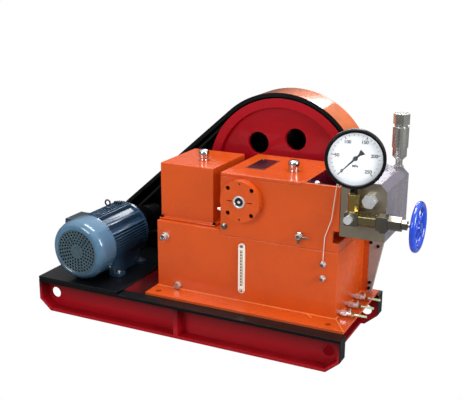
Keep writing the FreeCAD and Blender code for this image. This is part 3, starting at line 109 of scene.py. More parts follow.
class Graph:
    """A node tree, emptied, and short ways to fill it."""

    def __init__(self, tree: Tree) -> None:
        """Take the tree and clear it."""
        self.tree = tree
        tree.nodes.clear()

    def add(self, kind: str, inputs: dict[int | str, object] | None = None, **settings: object) -> Node:
        """Add a node with its settings and inputs.

        Args:
            kind: the node's type name.
            inputs: input socket to what feeds it: a socket, a node's first output or a constant.
            **settings: properties of the node itself.

        Returns:
            The new node.
        """
        node = self.tree.nodes.new(kind)
        for name, value in settings.items():
            setattr(node, name, value)
        for socket, value in (inputs or {}).items():
            source = value.outputs[0] if isinstance(value, Node) else value
            if isinstance(source, Socket):
                self.tree.links.new(source, node.inputs[socket])
            else:
                node.inputs[socket].default_value = source
        return node

    def calc(self, operation: str, first: object, second: object) -> Node:
        """Combine two values by arithmetic."""
        return self.add("ShaderNodeMath", {0: first, 1: second}, operation=operation)

    def dot(self, place: Socket, way: Point) -> Socket:
        """How far a place lies along a direction."""
        product = self.add("ShaderNodeVectorMath", {0: place, 1: way}, operation="DOT_PRODUCT")
        return product.outputs["Value"]

    def blend(self, share: object, first: object, second: Color) -> Socket:
        """Mix two colours."""
        return self.add("ShaderNodeMix", {0: share, 6: first, 7: second}, data_type="RGBA").outputs[2]

    def spread(self, value: object, band: Pair, onto: Pair = (0.0, 1.0)) -> Node:
        """Map a band of values onto another."""
        return self.add("ShaderNodeMapRange", {0: value, 1: band[0], 2: band[1], 3: onto[0], 4: onto[1]})

    def noise(self, place: object, size_mm: float, detail: float, roughness: float) -> Node:
        """A noise whose patches are about so many millimetres wide."""
        return self.add("ShaderNodeTexNoise", {"Vector": place, "Scale": 1 / (size_mm * MM),
                                               "Detail": detail, "Roughness": roughness})

    def by_ray(self, lit: Node, mirrored: Node, shown: Node) -> Node:
        """Use one shader as a light, another in mirrors and a third before the camera.

        Args:
            lit: seen by every other ray.
            mirrored: seen by glossy rays.
            shown: seen by the camera.

        Returns:
            The mixed shader.
        """
        path = self.add("ShaderNodeLightPath")
        first = self.add("ShaderNodeMixShader", {0: path.outputs["Is Glossy Ray"], 1: lit, 2: mirrored})
        return self.add("ShaderNodeMixShader", {0: path.outputs["Is Camera Ray"], 1: first, 2: shown})


class Site:
    """Where things stand: the skid's corner in the frame's axes, and helpers to place points."""

    corner = Vector((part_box("front_beam")[0].x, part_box("front_beam")[0].y, 0.0))

    @classmethod
    def at(cls, x: float, y: float, z: float) -> Vector:
        """Turn a place in millimetres from the skid's corner into the frame's metres."""
        return cls.corner + Vector((x, y, z)) * MM

    @staticmethod
    @lru_cache(maxsize=None)
    def box(node: str) -> tuple[Vector, Vector]:
        """The corners of a CAD node's box in metres, measured once."""
        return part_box(node)

    @classmethod
    def middle(cls, node: str) -> Vector:
        """The middle of a CAD node's box, in metres."""
        low, high = cls.box(node)
        return (low + high) / 2

    @classmethod
    def span(cls, node: str) -> tuple[Vector, Vector]:
        """The low and high corners of a CAD node's box, in millimetres from the skid's corner."""
        low, high = cls.box(node)
        return (low - cls.corner) / MM, (high - cls.corner) / MM

    @classmethod
    def reach(cls, node: str, place: Vector) -> float:
        """How far a place lies from the level line through a CAD node's middle, in millimetres."""
        hub = cls.middle(node)
        return math.hypot(place.x - hub.x, place.z - hub.z) / MM

    @classmethod
    def corners(cls, node: str, inset_x: float, inset_y: float, z: float) -> list[Vector]:
        """Four places inside the corners of a CAD node's plan, at one height."""
        low, high = cls.span(node)
        return [cls.at(x, y, z) for x in (low.x + inset_x, high.x - inset_x)
                for y in (low.y + inset_y, high.y - inset_y)]


class Grain(Enum):
    """How a surface was made, which sets the pattern of its bump."""

    SPRAYED = "sprayed"
    GROUND = "ground"
    TURNED = "turned"
    CAST = "cast"
    MOULDED = "moulded"


# Detail and roughness of each grain's noise, and its stretch along and across the tool's way.
PATTERNS = {
    Grain.SPRAYED: (1.0, 0.5, 1.0, 1.0),
    Grain.GROUND: (2.0, 0.5, 0.03, 1.0),
    Grain.TURNED: (1.0, 0.5, 1.0, 0.04),
    Grain.CAST: (4.0, 0.7, 1.0, 1.0),
    Grain.MOULDED: (1.0, 0.5, 1.0, 1.0),
}


@dataclass(frozen=True)
class Zone:
    """A part of a piece that is painted another colour, as half-spaces in millimetres.

    Attributes:
        planes: (normal, offset) pairs; a point is past a plane where normal . point exceeds offset.
        every: True where a point must be past every plane, False where one is enough.
        color: the zone's sRGB colour.
    """

    planes: tuple[tuple[Point, float], ...]
    every: bool
    color: str


@dataclass(frozen=True)
class Fade:
    """A painted shade that grows along one direction: the colour darkens where shade falls on the piece.

    Attributes:
        along: the direction.
        start: where it begins, in millimetres along that direction.
        end: where it is full.
        color: the sRGB colour of the painted shade at its end.
    """

    along: Point
    start: float
    end: float
    color: str


@dataclass(frozen=True)
class Finish:
    """One real finish and the node material that shows it.

    Attributes:
        name: the material's name.
        color: main sRGB colour.
        shade: second sRGB colour that drifts through the first.
        roughness: mean roughness.
        metallic: 1 for bare metal.
        coat: clear gloss over the colour.
        grain: how the surface was made.
        grain_mm: size of the finest visible pattern in millimetres.
        relief_mm: height of that pattern in millimetres.
        drift_mm: size of the slow change of tone in millimetres.
        drift: share of the second colour at its strongest.
        along: direction of brushing or turning.
        zone: a region painted in another colour.
        fade: painted shade that grows along one direction.
        alpha: opacity, below 1 for clear panes.
        specular: strength of the plain reflection.
    """

    name: str
    color: str
    shade: str
    roughness: float
    metallic: float = 0.0
    coat: float = 0.0
    grain: Grain = Grain.SPRAYED
    grain_mm: float = 2.0
    relief_mm: float = 0.02
    drift_mm: float = 70.0
    drift: float = 0.5
    along: Point = (1.0, 0.0, 0.0)
    zone: Zone | None = None
    fade: Fade | None = None
    alpha: float = 1.0
    specular: float = 0.5

    def like(self, name: str, color: str, shade: str, roughness: float, **changes: object) -> Finish:
        """The same kind of finish under another name, with other colours and some other values."""
        return replace(self, name=name, color=color, shade=shade, roughness=roughness, **changes)

    def material(self) -> bpy.types.Material:
        """Build the node material once and return it each time it is asked for."""
        known = bpy.data.materials.get(self.name)
        if known is not None:
            return known
        made = bpy.data.materials.new(self.name)
        made.use_nodes = True
        graph = Graph(made.node_tree)
        place = graph.add("ShaderNodeTexCoord").outputs["Object"]
        drift = graph.noise(place, self.drift_mm, DRIFT_DETAIL, DRIFT_ROUGHNESS)
        gloss = (self.roughness * GLOSS_LEAST, min(1.0, self.roughness * GLOSS_MOST))
        rough = graph.spread(drift, GLOSS_BAND, gloss)
        shader = graph.add("ShaderNodeBsdfPrincipled", {
            "Base Color": self._color(graph, place, drift), "Roughness": rough,
            "Normal": self._bump(graph, place), "Metallic": self.metallic, "Coat Weight": self.coat,
            "Coat Roughness": COAT_ROUGHNESS, "Specular IOR Level": self.specular, "Alpha": self.alpha})
        graph.add("ShaderNodeOutputMaterial", {"Surface": shader})
        made.diffuse_color = linear(self.color, self.alpha)
        return made

    def _color(self, graph: Graph, place: Socket, drift: Node) -> Socket:
        """Lay out the colour with its drift, the painted shade along one direction, and the other paint
        inside the zone.

        Args:
            graph: the material's tree.
            place: the point on the piece.
            drift: the slow noise.

        Returns:
            The colour.
        """
        share = graph.spread(drift, TONE_BAND, (0.0, self.drift))
        color = graph.blend(share, linear(self.color), linear(self.shade))
        # Painted shade: the colour darkens along one direction towards the shade's colour.
        if self.fade is not None:
            grown = graph.spread(graph.dot(place, self.fade.along),
                                 (self.fade.start * MM, self.fade.end * MM))
            color = graph.blend(grown, color, linear(self.fade.color))
        if self.zone is None:
            return color
        mask = None
        for normal, offset in self.zone.planes:
            past = graph.calc("GREATER_THAN", graph.dot(place, normal), offset * MM)
            if mask is None:
                mask = past
            else:
                mask = graph.calc("MINIMUM" if self.zone.every else "MAXIMUM", mask, past)
        return graph.blend(mask, color, linear(self.zone.color))

    def _bump(self, graph: Graph, place: Socket) -> Node:
        """Lay out the fine relief left by spraying, grinding, turning, casting or moulding.

        Args:
            graph: the material's tree.
            place: the point on the piece.

        Returns:
            The node that bends the surface.
        """
        detail, roughness, along, across = PATTERNS[self.grain]
        if along != across:
            stretch = tuple(along if part else across for part in self.along)
            place = graph.add("ShaderNodeMapping", {0: place, "Scale": stretch}).outputs[0]
        pattern = graph.noise(place, self.grain_mm, detail, roughness)
        return graph.add("ShaderNodeBump", {"Height": pattern, "Strength": BUMP_STRENGTH,
                                            "Distance": self.relief_mm * MM})


def skid_zone() -> Zone:
    """The beams' black parts: the top flange, the right end plate and the right nose plate."""
    high = Site.box("front_beam")[1] / MM
    run, rise, plate, skin = 40.0, 34.0, 9.0, 1.8
    slope = Vector((rise, 0.0, -run)).normalized()
    foot = slope.dot(Vector((high.x - run, 0.0, 0.0)))
    return Zone(planes=(
        ((0.0, 0.0, 1.0), high.z - plate),
        ((1.0, 0.0, 0.0), high.x - skin),
        (tuple(slope), foot - skin),
    ), every=False, color="#08090B")


def bay_zone() -> Zone:
    """The red paint inside the open plunger bay, darkened as painted shade in the recess."""
    low, high = (corner / MM for corner in Site.box("crankcase"))
    length, wall, floor, lid = 102.4, 7.8, 84.0, 0.8
    return Zone(planes=(
        ((1.0, 0.0, 0.0), high.x - length), ((-1.0, 0.0, 0.0), wall - high.x),
        ((0.0, 1.0, 0.0), low.y + wall), ((0.0, -1.0, 0.0), wall - high.y),
        ((0.0, 0.0, 1.0), low.z + floor), ((0.0, 0.0, -1.0), lid - high.z),
    ), every=True, color="#5C0E20")


# Alkyd enamel, sprayed and gloss: an even colour, faint orange peel and a clear skin.
ORANGE = Finish("orange_alkyd_enamel", "#CC5018", "#BE4814", 0.26, coat=0.35, relief_mm=0.012,
                grain_mm=2.4, drift_mm=90, specular=0.2)
ORANGE_CASE = replace(ORANGE, name="orange_enamel_with_red_bay", zone=bay_zone())
ORANGE_GUARD = Finish("orange_enamel_on_rolled_sheet", "#DC6A24", "#B0602C", 0.14, coat=0.9,
                      relief_mm=0.05, grain_mm=30, drift_mm=45, drift=0.8)
# Weld beads painted a lighter orange than the enamel round them: painted highlight on the beads.
WELD_PAINTED_HIGHLIGHT = Finish("orange_weld_with_painted_highlight", "#F0853C", "#E46A24", 0.28, coat=0.7, relief_mm=0.03,
              grain_mm=1.2, drift_mm=20)
# Red enamel over hot-rolled channel: the mill surface shows through as a soft waviness.
# The web grows darker towards its top flange: painted shade under the flange.
RED_SKID = Finish("red_enamel_on_channel", "#A00A18", "#920814", 0.40, coat=0.08, relief_mm=0.03,
                  grain_mm=4, drift_mm=60, zone=skid_zone(), specular=0.15,
                  fade=Fade((0.0, 0.0, 1.0), 30.0, 92.0, "#34060A"))
# The cross members take a darker copy of the skid's red: painted shade inside the skid.
RED_CROSS_PAINTED_SHADE = RED_SKID.like("red_enamel_on_cross_channel_with_painted_shade", "#8C0C18", "#780A14", 0.42, coat=0.1, zone=None,
                          fade=None)
RED_WHEEL = Finish("red_enamel_on_cast_iron", "#A2081A", "#900614", 0.36, coat=0.08, relief_mm=0.05,
                   grain_mm=1.6, grain=Grain.CAST, drift_mm=50, specular=0.15)
BLACK = Finish("black_alkyd_enamel", "#07080B", "#0C0E12", 0.30, coat=0.12, grain_mm=3, specular=0.2)
# Hammer-smooth machine enamel on ribbed grey iron.
MOTOR_BLUE = Finish("blue_grey_machine_enamel", "#27435C", "#1A324A", 0.34, coat=0.3, relief_mm=0.06,
                    grain_mm=1.8, grain=Grain.CAST, drift_mm=35, specular=0.35)
MOTOR_DARK = MOTOR_BLUE.like("dark_blue_grey_enamel", "#1C2C3A", "#16242F", 0.34, coat=0.35,
                             relief_mm=0.04, drift_mm=25, specular=0.5)
# The cowl grows darker towards its bottom: painted shade on its lower side.
MOTOR_SHEET = Finish("blue_grey_enamel_on_sheet", "#4C728E", "#3E6078", 0.20, coat=0.9, relief_mm=0.01,
                     grain_mm=3, drift_mm=40, fade=Fade((0.0, 0.0, -1.0), -215.0, -125.0, "#22384A"))
# The grille disc takes a darker copy of the cowl's enamel: painted shade over the recessed perforated
# disc.
GRILLE_PAINTED_SHADE = Finish("perforated_sheet_enamel_with_painted_shade", "#3C525C", "#2E4048", 0.36, coat=0.2,
                     relief_mm=0.01, drift_mm=20)
BLUE_WHEEL = Finish("blue_enamel_on_die_casting", "#1846C8", "#1238A0", 0.18, coat=0.8, drift_mm=20)
# Bare steel: fine parallel scratches from the surface grinder.
GROUND_STEEL = Finish("ground_carbon_steel", "#A09684", "#857A68", 0.34, metallic=0.75,
                      grain=Grain.GROUND, grain_mm=0.9, drift_mm=45, drift=0.6, along=(0.0, 0.0, 1.0))
# A paler lavender copy of the ground steel, with less metal, for the block's side and top faces: painted
# reflection.
GROUND_STEEL_PAINTED_REFLECTION = GROUND_STEEL.like("ground_steel_with_painted_reflection", "#A29CA8", "#88828E", 0.28, metallic=0.6,
                                drift_mm=60)
LEG_STEEL = GROUND_STEEL.like("dull_plate_steel", "#B4AEAA", "#9A9490", 0.40, metallic=0.4, drift_mm=40)
TURNED_STEEL = Finish("turned_stainless_steel", "#C2C2BC", "#A2A29A", 0.24, metallic=0.85,
                      grain=Grain.TURNED, grain_mm=0.8, relief_mm=0.015, drift_mm=18,
                      along=(0.0, 0.0, 1.0))
BAR_STEEL = Finish("drawn_stainless_bar", "#8E897C", "#6E6A5E", 0.20, metallic=1.0,
                   grain=Grain.GROUND, grain_mm=0.7, relief_mm=0.012, drift_mm=16)
YELLOW_BAR = BAR_STEEL.like("yellow_passivated_bar", "#A2946C", "#867A56", 0.24)
SATIN_NUT = Finish("satin_plated_steel", "#A6A59E", "#8A8880", 0.22, metallic=1.0, relief_mm=0.01,
                   grain_mm=0.8, drift_mm=8)
# Bright nickel-chrome plate: nearly a mirror.
CHROME = Finish("bright_chrome_plate", "#D6D8DA", "#B8BBBE", 0.08, metallic=1.0, relief_mm=0.004,
                grain_mm=1.5, drift_mm=14)
# A near-white copy of the chrome with less metal, whose plain colour shows as a painted highlight on caps,
# plugs and cocks.
PLATED_CAP_PAINTED_HIGHLIGHT = CHROME.like("plated_cap_with_painted_highlight", "#E6E8EA", "#C4C6C8", 0.14, metallic=0.55, relief_mm=0.006,
                         drift_mm=10)
BRASS = Finish("machined_brass", "#C0A860", "#A08A48", 0.24, metallic=1.0, grain=Grain.TURNED,
               grain_mm=0.7, relief_mm=0.012, drift_mm=14, along=(0.0, 0.0, 1.0))
PALE_ZINC = SATIN_NUT.like("zinc_plated_steel", "#B4B0A6", "#948E82", 0.30)
DARK_IRON = Finish("machined_cast_iron", "#2A2A2C", "#1E1E20", 0.45, metallic=1.0, grain=Grain.TURNED,
                   grain_mm=0.8, relief_mm=0.03, along=(0.0, 1.0, 0.0))
BLACK_OXIDE = SATIN_NUT.like("black_oxide_screw", "#1A1A1D", "#101012", 0.42, grain_mm=0.7, drift_mm=6)
RUBBER = Finish("rubber_v_belt", "#101010", "#181716", 0.75, grain=Grain.MOULDED, grain_mm=1.2,
                relief_mm=0.05, specular=0.3)
BLACK_PLASTIC = RUBBER.like("moulded_black_nylon", "#15171A", "#1D2024", 0.5, grain_mm=0.9,
                            relief_mm=0.03, specular=0.5)
GAUGE_BLACK = Finish("black_stoved_case", "#06070A", "#0B0D11", 0.24, coat=0.15, relief_mm=0.008,
                     specular=0.3)
DIAL_WHITE = Finish("white_dial_enamel", "#F6FAFF", "#F0F6FC", 0.5, relief_mm=0.003, grain_mm=1)
PRINT_RED = Finish("red_dial_ink", "#B8242A", "#A81E24", 0.6, relief_mm=0.002, grain_mm=1)
PRINT_BLACK = PRINT_RED.like("black_dial_ink", "#0A0B0D", "#101114", 0.6, specular=0.2)
PLATE_MAROON = Finish("etched_maroon_plate", "#2E0A14", "#220710", 0.35, coat=0.3, relief_mm=0.01,
                      grain_mm=1)
MAROON_EDGE = PLATE_MAROON.like("bare_edge_of_etched_plate", "#8C3A30", "#6E2A28", 0.35)
SIGHT_DARK = Finish("dark_sight_glass", "#101418", "#181D22", 0.08, coat=0.8, relief_mm=0.002)
SIGHT_PALE = Finish("pale_sight_float", "#D8D2C4", "#C6BEAE", 0.3, coat=0.3, relief_mm=0.004, grain_mm=1)
CLEAR_PANE = Finish("clear_gauge_pane", "#F2F8FA", "#E9F3F6", 0.04, relief_mm=0.001, grain_mm=3,
                    alpha=0.03, specular=0.1)
CLEAR_TUBE = Finish("clear_sight_tube", "#F4E9DC", "#EADBCB", 0.12, coat=0.6, relief_mm=0.003)
POLY_TUBE = Finish("milky_nylon_tube", "#D9CFC4", "#C9BDAF", 0.30, coat=0.2, relief_mm=0.004,
                   grain_mm=1.5)
GREEN_TAIL = Finish("pale_green_hose_tail", "#BFD6A6", "#A9C48C", 0.4, coat=0.2, relief_mm=0.01,
                    grain_mm=1)


def settle(piece: Thing, body: str) -> Thing:
    """Fix a finished piece to its body and log it.

    Args:
        piece: the finished object.
        body: the CAD body it rides on.

    Returns:
        The same object.
    """
    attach(piece, body)
    LOG.info("piece %s on %s", piece.name, body)
    return piece


def linked(name: str, data: bpy.types.ID) -> Thing:
    """Make an object of some data and put it in the scene.

    Args:
        name: the object's name.
        data: its mesh, curve, lamp or camera.

    Returns:
        The new object.
    """
    made = bpy.data.objects.new(name, data)
    bpy.context.scene.collection.objects.link(made)
    return made


def evaluated(piece: Thing) -> bpy.types.Mesh:
    """The plain mesh that an object shows after its modifiers."""
    return bpy.data.meshes.new_from_object(piece.evaluated_get(bpy.context.evaluated_depsgraph_get()))


def object_from(work: bmesh.types.BMesh, name: str, finish: Finish,
                smooth_angle: float = SMOOTH_DEG) -> Thing:
    """Turn mesh data into a linked object with one finish.

    Args:
        work: the mesh data, freed here.
        name: the object's name.
        finish: its finish.
        smooth_angle: edges sharper than this stay crisp, in degrees.

    Returns:
        The new object.
    """
    mesh = bpy.data.meshes.new(name)
    work.to_mesh(mesh)
    work.free()
    mesh.materials.append(finish.material())
    mesh.shade_smooth()
    mesh.set_sharp_from_angle(angle=math.radians(smooth_angle))
    return linked(name, mesh)


class NodeKit:
    """Geometry node trees for what repeats: fasteners, dial marks and weld beads."""

    @staticmethod
    def _start(name: str, *labels: str) -> tuple[Graph, Node, list[Socket]]:
        """Start a tree that takes geometry and some named sizes.

        Args:
            name: the tree's name.
            *labels: the sizes' names.

        Returns:
            The tree, the node that gives its points, and the sizes' outputs.
        """
        tree = bpy.data.node_groups.new(name, "GeometryNodeTree")
        tree.interface.new_socket("Geometry", in_out="INPUT", socket_type="NodeSocketGeometry")
        for label in labels:
            tree.interface.new_socket(label, in_out="INPUT", socket_type="NodeSocketFloat")
        tree.interface.new_socket("Geometry", in_out="OUTPUT", socket_type="NodeSocketGeometry")
        graph = Graph(tree)
        given = graph.add("NodeGroupInput")
        return graph, given, [given.outputs[label] for label in labels]

    @staticmethod
    def _end(graph: Graph, points: object, instance: Node, turn: Node | None, finish: Finish) -> Tree:
        """Set a shape on each point, make it real, give it its material and close the tree.

        Args:
            graph: the tree.
            points: where the shapes stand.
            instance: the shape.
            turn: its rotation, or None to leave it as it is.
            finish: its finish.

        Returns:
            The finished tree.
        """
        inputs = {"Points": points, "Instance": instance}
        if turn is not None:
            inputs["Rotation"] = turn
        placed = graph.add("GeometryNodeInstanceOnPoints", inputs)
        real = graph.add("GeometryNodeRealizeInstances", {0: placed})
        graph.add("NodeGroupOutput", {
            0: graph.add("GeometryNodeSetMaterial", {0: real, "Material": finish.material()})})
        return graph.tree

    @staticmethod
    def _upright(graph: Graph) -> Node:
        """A rotation that turns a shape's height along the points' ``axis``."""
        axis = graph.add("GeometryNodeInputNamedAttribute", {0: "axis"}, data_type="FLOAT_VECTOR")
        return graph.add("FunctionNodeAlignRotationToVector", {"Vector": axis}, axis="Z")

    @classmethod
    def hex_heads(cls, finish: Finish) -> Tree:
        """A tree that sets a washer and a hexagon head on each point, along its ``axis``.

        Args:
            finish: the heads' finish.

        Returns:
            The tree; its sizes are head radius and height, washer radius and thickness.
        """
        graph, given, sizes = cls._start(f"hex_heads_{finish.name}", "Head Radius", "Head Height",
                                         "Washer Radius", "Washer Thickness")
        radius, height, washer_radius, thickness = sizes
        crown_share, crown_height, top_share, sides, steps = 0.84, 0.16, 0.7, 6, 24
        crown_radius = graph.calc("MULTIPLY", radius, crown_share)
        washer = graph.add("GeometryNodeMeshCylinder",
                           {"Vertices": steps, "Radius": washer_radius, "Depth": thickness})
        head = graph.add("GeometryNodeMeshCylinder",
                         {"Vertices": sides, "Radius": radius, "Depth": height})
        crown = graph.add("GeometryNodeMeshCone", {
            "Vertices": steps, "Radius Bottom": crown_radius,
            "Radius Top": graph.calc("MULTIPLY", crown_radius, top_share),
            "Depth": graph.calc("MULTIPLY", height, crown_height)})
        joined = graph.add("GeometryNodeJoinGeometry")
        for part, level in (
                (washer, graph.calc("MULTIPLY", thickness, 0.5)),
                (head, graph.calc("ADD", thickness, graph.calc("MULTIPLY", height, 0.5))),
                (crown, graph.calc("ADD", thickness, height))):
            offset = graph.add("ShaderNodeCombineXYZ", {2: level})
            lifted = graph.add("GeometryNodeTransform", {0: part, "Translation": offset})
            graph.tree.links.new(lifted.outputs[0], joined.inputs[0])
        return cls._end(graph, given, joined, cls._upright(graph), finish)

    @classmethod
    def dial_marks(cls, finish: Finish) -> Tree:
        """A tree that sets a flat mark on each point, its long side along ``axis``.

        Args:
            finish: the marks' finish.

        Returns:
            The tree; its sizes are length, width and thickness.
        """
        graph, given, sizes = cls._start(f"dial_marks_{finish.name}", "Length", "Width", "Thickness")
        length, width, thickness = sizes
        size = graph.add("ShaderNodeCombineXYZ", {0: thickness, 1: width, 2: length})
        facing = graph.add("GeometryNodeInputNamedAttribute", {0: "facing"}, data_type="FLOAT_VECTOR")
        turn = graph.add("FunctionNodeAlignRotationToVector",
                         {"Rotation": cls._upright(graph), "Vector": facing}, axis="X", pivot_axis="Z")
        return cls._end(graph, given, graph.add("GeometryNodeMeshCube", {0: size}), turn, finish)

    @classmethod
    def weld_bead(cls, finish: Finish) -> Tree:
        """A tree that lays overlapping beads of weld along an edge line.

        Args:
            finish: the beads' finish.

        Returns:
            The tree; its sizes are the bead's radius and the pitch.
        """
        graph, given, (radius, pitch) = cls._start(f"weld_bead_{finish.name}", "Bead Radius", "Pitch")
        line = graph.add("GeometryNodeMeshToCurve", {0: given})
        spaced = graph.add("GeometryNodeCurveToPoints", {0: line, "Length": pitch}, mode="LENGTH")
        bead = graph.add("GeometryNodeMeshUVSphere", {"Segments": 8, "Rings": 5, "Radius": radius})
        smooth = graph.add("GeometryNodeSetShadeSmooth", {0: bead})
        return cls._end(graph, spaced.outputs["Points"], smooth, None, finish)

    @staticmethod
    def grow(name: str, points: Sequence[Vector], tree: Tree, sizes: Sequence[float], slot: str,
             body: str = "root", chain: bool = False, closed: bool = False,
             **vectors: Vector | Sequence[Vector]) -> None:
        """Run a tree on a set of points, keep the plain mesh and settle it.

        Args:
            name: the object's name.
            points: places in metres.
            tree: the geometry node tree.
            sizes: its sizes in order, in millimetres.
            slot: not used.
            body: the body it rides on.
            chain: join the points by edges in order.
            closed: join the last to the first as well.
            **vectors: attribute name to one vector for all points, or one for each.
        """
        count = len(points)
        edges = [(index, index + 1) for index in range(count - 1)] if chain else []
        if closed:
            edges.append((count - 1, 0))
        mesh = bpy.data.meshes.new(name)
        mesh.from_pydata([tuple(point) for point in points], edges, [])
        for label, given in vectors.items():
            attribute = mesh.attributes.new(label, "FLOAT_VECTOR", "POINT")
            for item, value in zip(attribute.data, repeat(given) if isinstance(given, Vector) else given):
                item.vector = value
        made = linked(name, mesh)
        modifier = made.modifiers.new("grown", "NODES")
        modifier.node_group = tree
        sockets = [item for item in tree.interface.items_tree if item.socket_type == "NodeSocketFloat"]
        for socket, size in zip(sockets, sizes, strict=True):
            modifier[socket.identifier] = float(size * MM)
        grown = evaluated(made)
        made.modifiers.clear()
        made.data = grown
        grown.set_sharp_from_angle(angle=math.radians(SMOOTH_DEG))
        settle(made, body)


class Dresser:
    """Shared ways of dressing CAD nodes and of making turned and squared pieces."""

    @staticmethod
    def paint(node: str, finish: Finish) -> None:
        """Give a CAD node its finish without touching its shape.

        Args:
            node: the CAD node.
            finish: its finish.
        """
        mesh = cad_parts[node].data
        mesh.materials.clear()
        mesh.materials.append(finish.material())

    @staticmethod
    def rounded(node: str, finish: Finish, width_mm: float, slot: str, body: str = "root",
                inner: Finish | None = None, is_inner: FaceTest | None = None, segments: int = 2,
                smooth_angle: float = 28.0) -> None:
        """Stand a copy with softened edges in place of a CAD node.

        Args:
            node: the CAD node.
            finish: the copy's finish.
            width_mm: how wide each edge is broken.
            slot: not used.
            body: the body it rides on.
            inner: another finish for some faces.
            is_inner: tells from a face's middle and normal whether it takes that finish.
            segments: steps across each broken edge.
            smooth_angle: edges sharper than this stay crisp and are broken, in degrees.
        """
        work = bmesh.new()
        work.from_mesh(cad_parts[node].data)
        bmesh.ops.remove_doubles(work, verts=work.verts, dist=2e-6)
        bmesh.ops.dissolve_limit(work, angle_limit=math.radians(0.6), verts=work.verts, edges=work.edges,
                                 use_dissolve_boundaries=False)
        work.normal_update()
        if is_inner is not None:
            for face in work.faces:
                face.material_index = int(is_inner(face.calc_center_median(), face.normal))
        piece = object_from(work, f"{node}_finished", finish, smooth_angle)
        if inner is not None:
            piece.data.materials.append(inner.material())
        if width_mm > 0:
            bevel = piece.modifiers.new("broken_edges", "BEVEL")
            bevel.width = width_mm * MM
            bevel.segments = segments
            bevel.limit_method = "ANGLE"
            bevel.angle_limit = math.radians(smooth_angle)
            bevel.harden_normals = True
            bevelled = evaluated(piece)
            piece.modifiers.clear()
            piece.data = bevelled
        settle(piece, body)
        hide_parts(node)

    @staticmethod
    def lathe(name: str, profile: Pairs, base: Vector, axis: Vector, finish: Finish, slot: str,
              steps: int = 48, smooth_angle: float = SMOOTH_DEG) -> Thing:
        """Turn a profile round an axis.

        Args:
            name: the object's name.
            profile: (radius, height) pairs in millimetres, closed on the axis where the radius is 0.
            base: where height 0 lies, in metres.
            axis: direction of the height.
            finish: the piece's finish.
            slot: not used.
            steps: faces round the axis.
            smooth_angle: edges sharper than this stay crisp.

        Returns:
            The new object.
        """
        work = bmesh.new()
        turn = UP.rotation_difference(axis.normalized()).to_matrix().to_4x4()
        place = Matrix.Translation(base) @ turn
        rings = []
        for radius, height in profile:
            if radius < 1e-6:
                rings.append([work.verts.new(place @ Vector((0, 0, height * MM)))])
                continue
            reach, level = radius * MM, height * MM
            rings.append([work.verts.new(place @ Vector((reach * math.cos(a), reach * math.sin(a), level)))
                          for a in circle(steps)])
        for lower, upper in zip(rings, rings[1:]):
            for index in range(steps):
                after = (index + 1) % steps
                corners = [lower[index % len(lower)], lower[after % len(lower)],
                           upper[after % len(upper)], upper[index % len(upper)]]
                unique = list(dict.fromkeys(corners))
                if len(unique) > 2:
                    work.faces.new(unique)
        bmesh.ops.recalc_face_normals(work, faces=work.faces)
        return settle(object_from(work, name, finish, smooth_angle), "root")

    @staticmethod
    def slab(name: str, size: Point, centre: Vector, finish: Finish, slot: str, round_mm: float) -> None:
        """Make a block with softened edges.

        Args:
            name: the object's name.
            size: length, depth and height in millimetres.
            centre: its middle in metres.
            finish: its finish.
            slot: not used.
            round_mm: radius of its edges.
        """
        work = bmesh.new()
        bmesh.ops.create_cube(work, size=1.0)
        for vertex in work.verts:
            vertex.co = centre + Vector(c * s * MM for c, s in zip(vertex.co, size))
        bmesh.ops.bevel(work, geom=work.edges[:], offset=round_mm * MM, segments=2, profile=0.6,
                        affect="EDGES")
        settle(object_from(work, name, finish), "root")


@dataclass
class Skid(Dresser):
    """The channel skid with its deck plate."""

    edge_mm: float = 1.6

    def build(self) -> None:
        """Dress the frame."""
        for node, finish, slot in (
                ("front_beam", RED_SKID, "red_paint"), ("back_beam", RED_SKID, "red_paint"),
                ("cross_members", RED_CROSS_PAINTED_SHADE, "red_paint"), ("motor_deck", BLACK, "black_paint")):
            self.rounded(node, finish, self.edge_mm, slot)


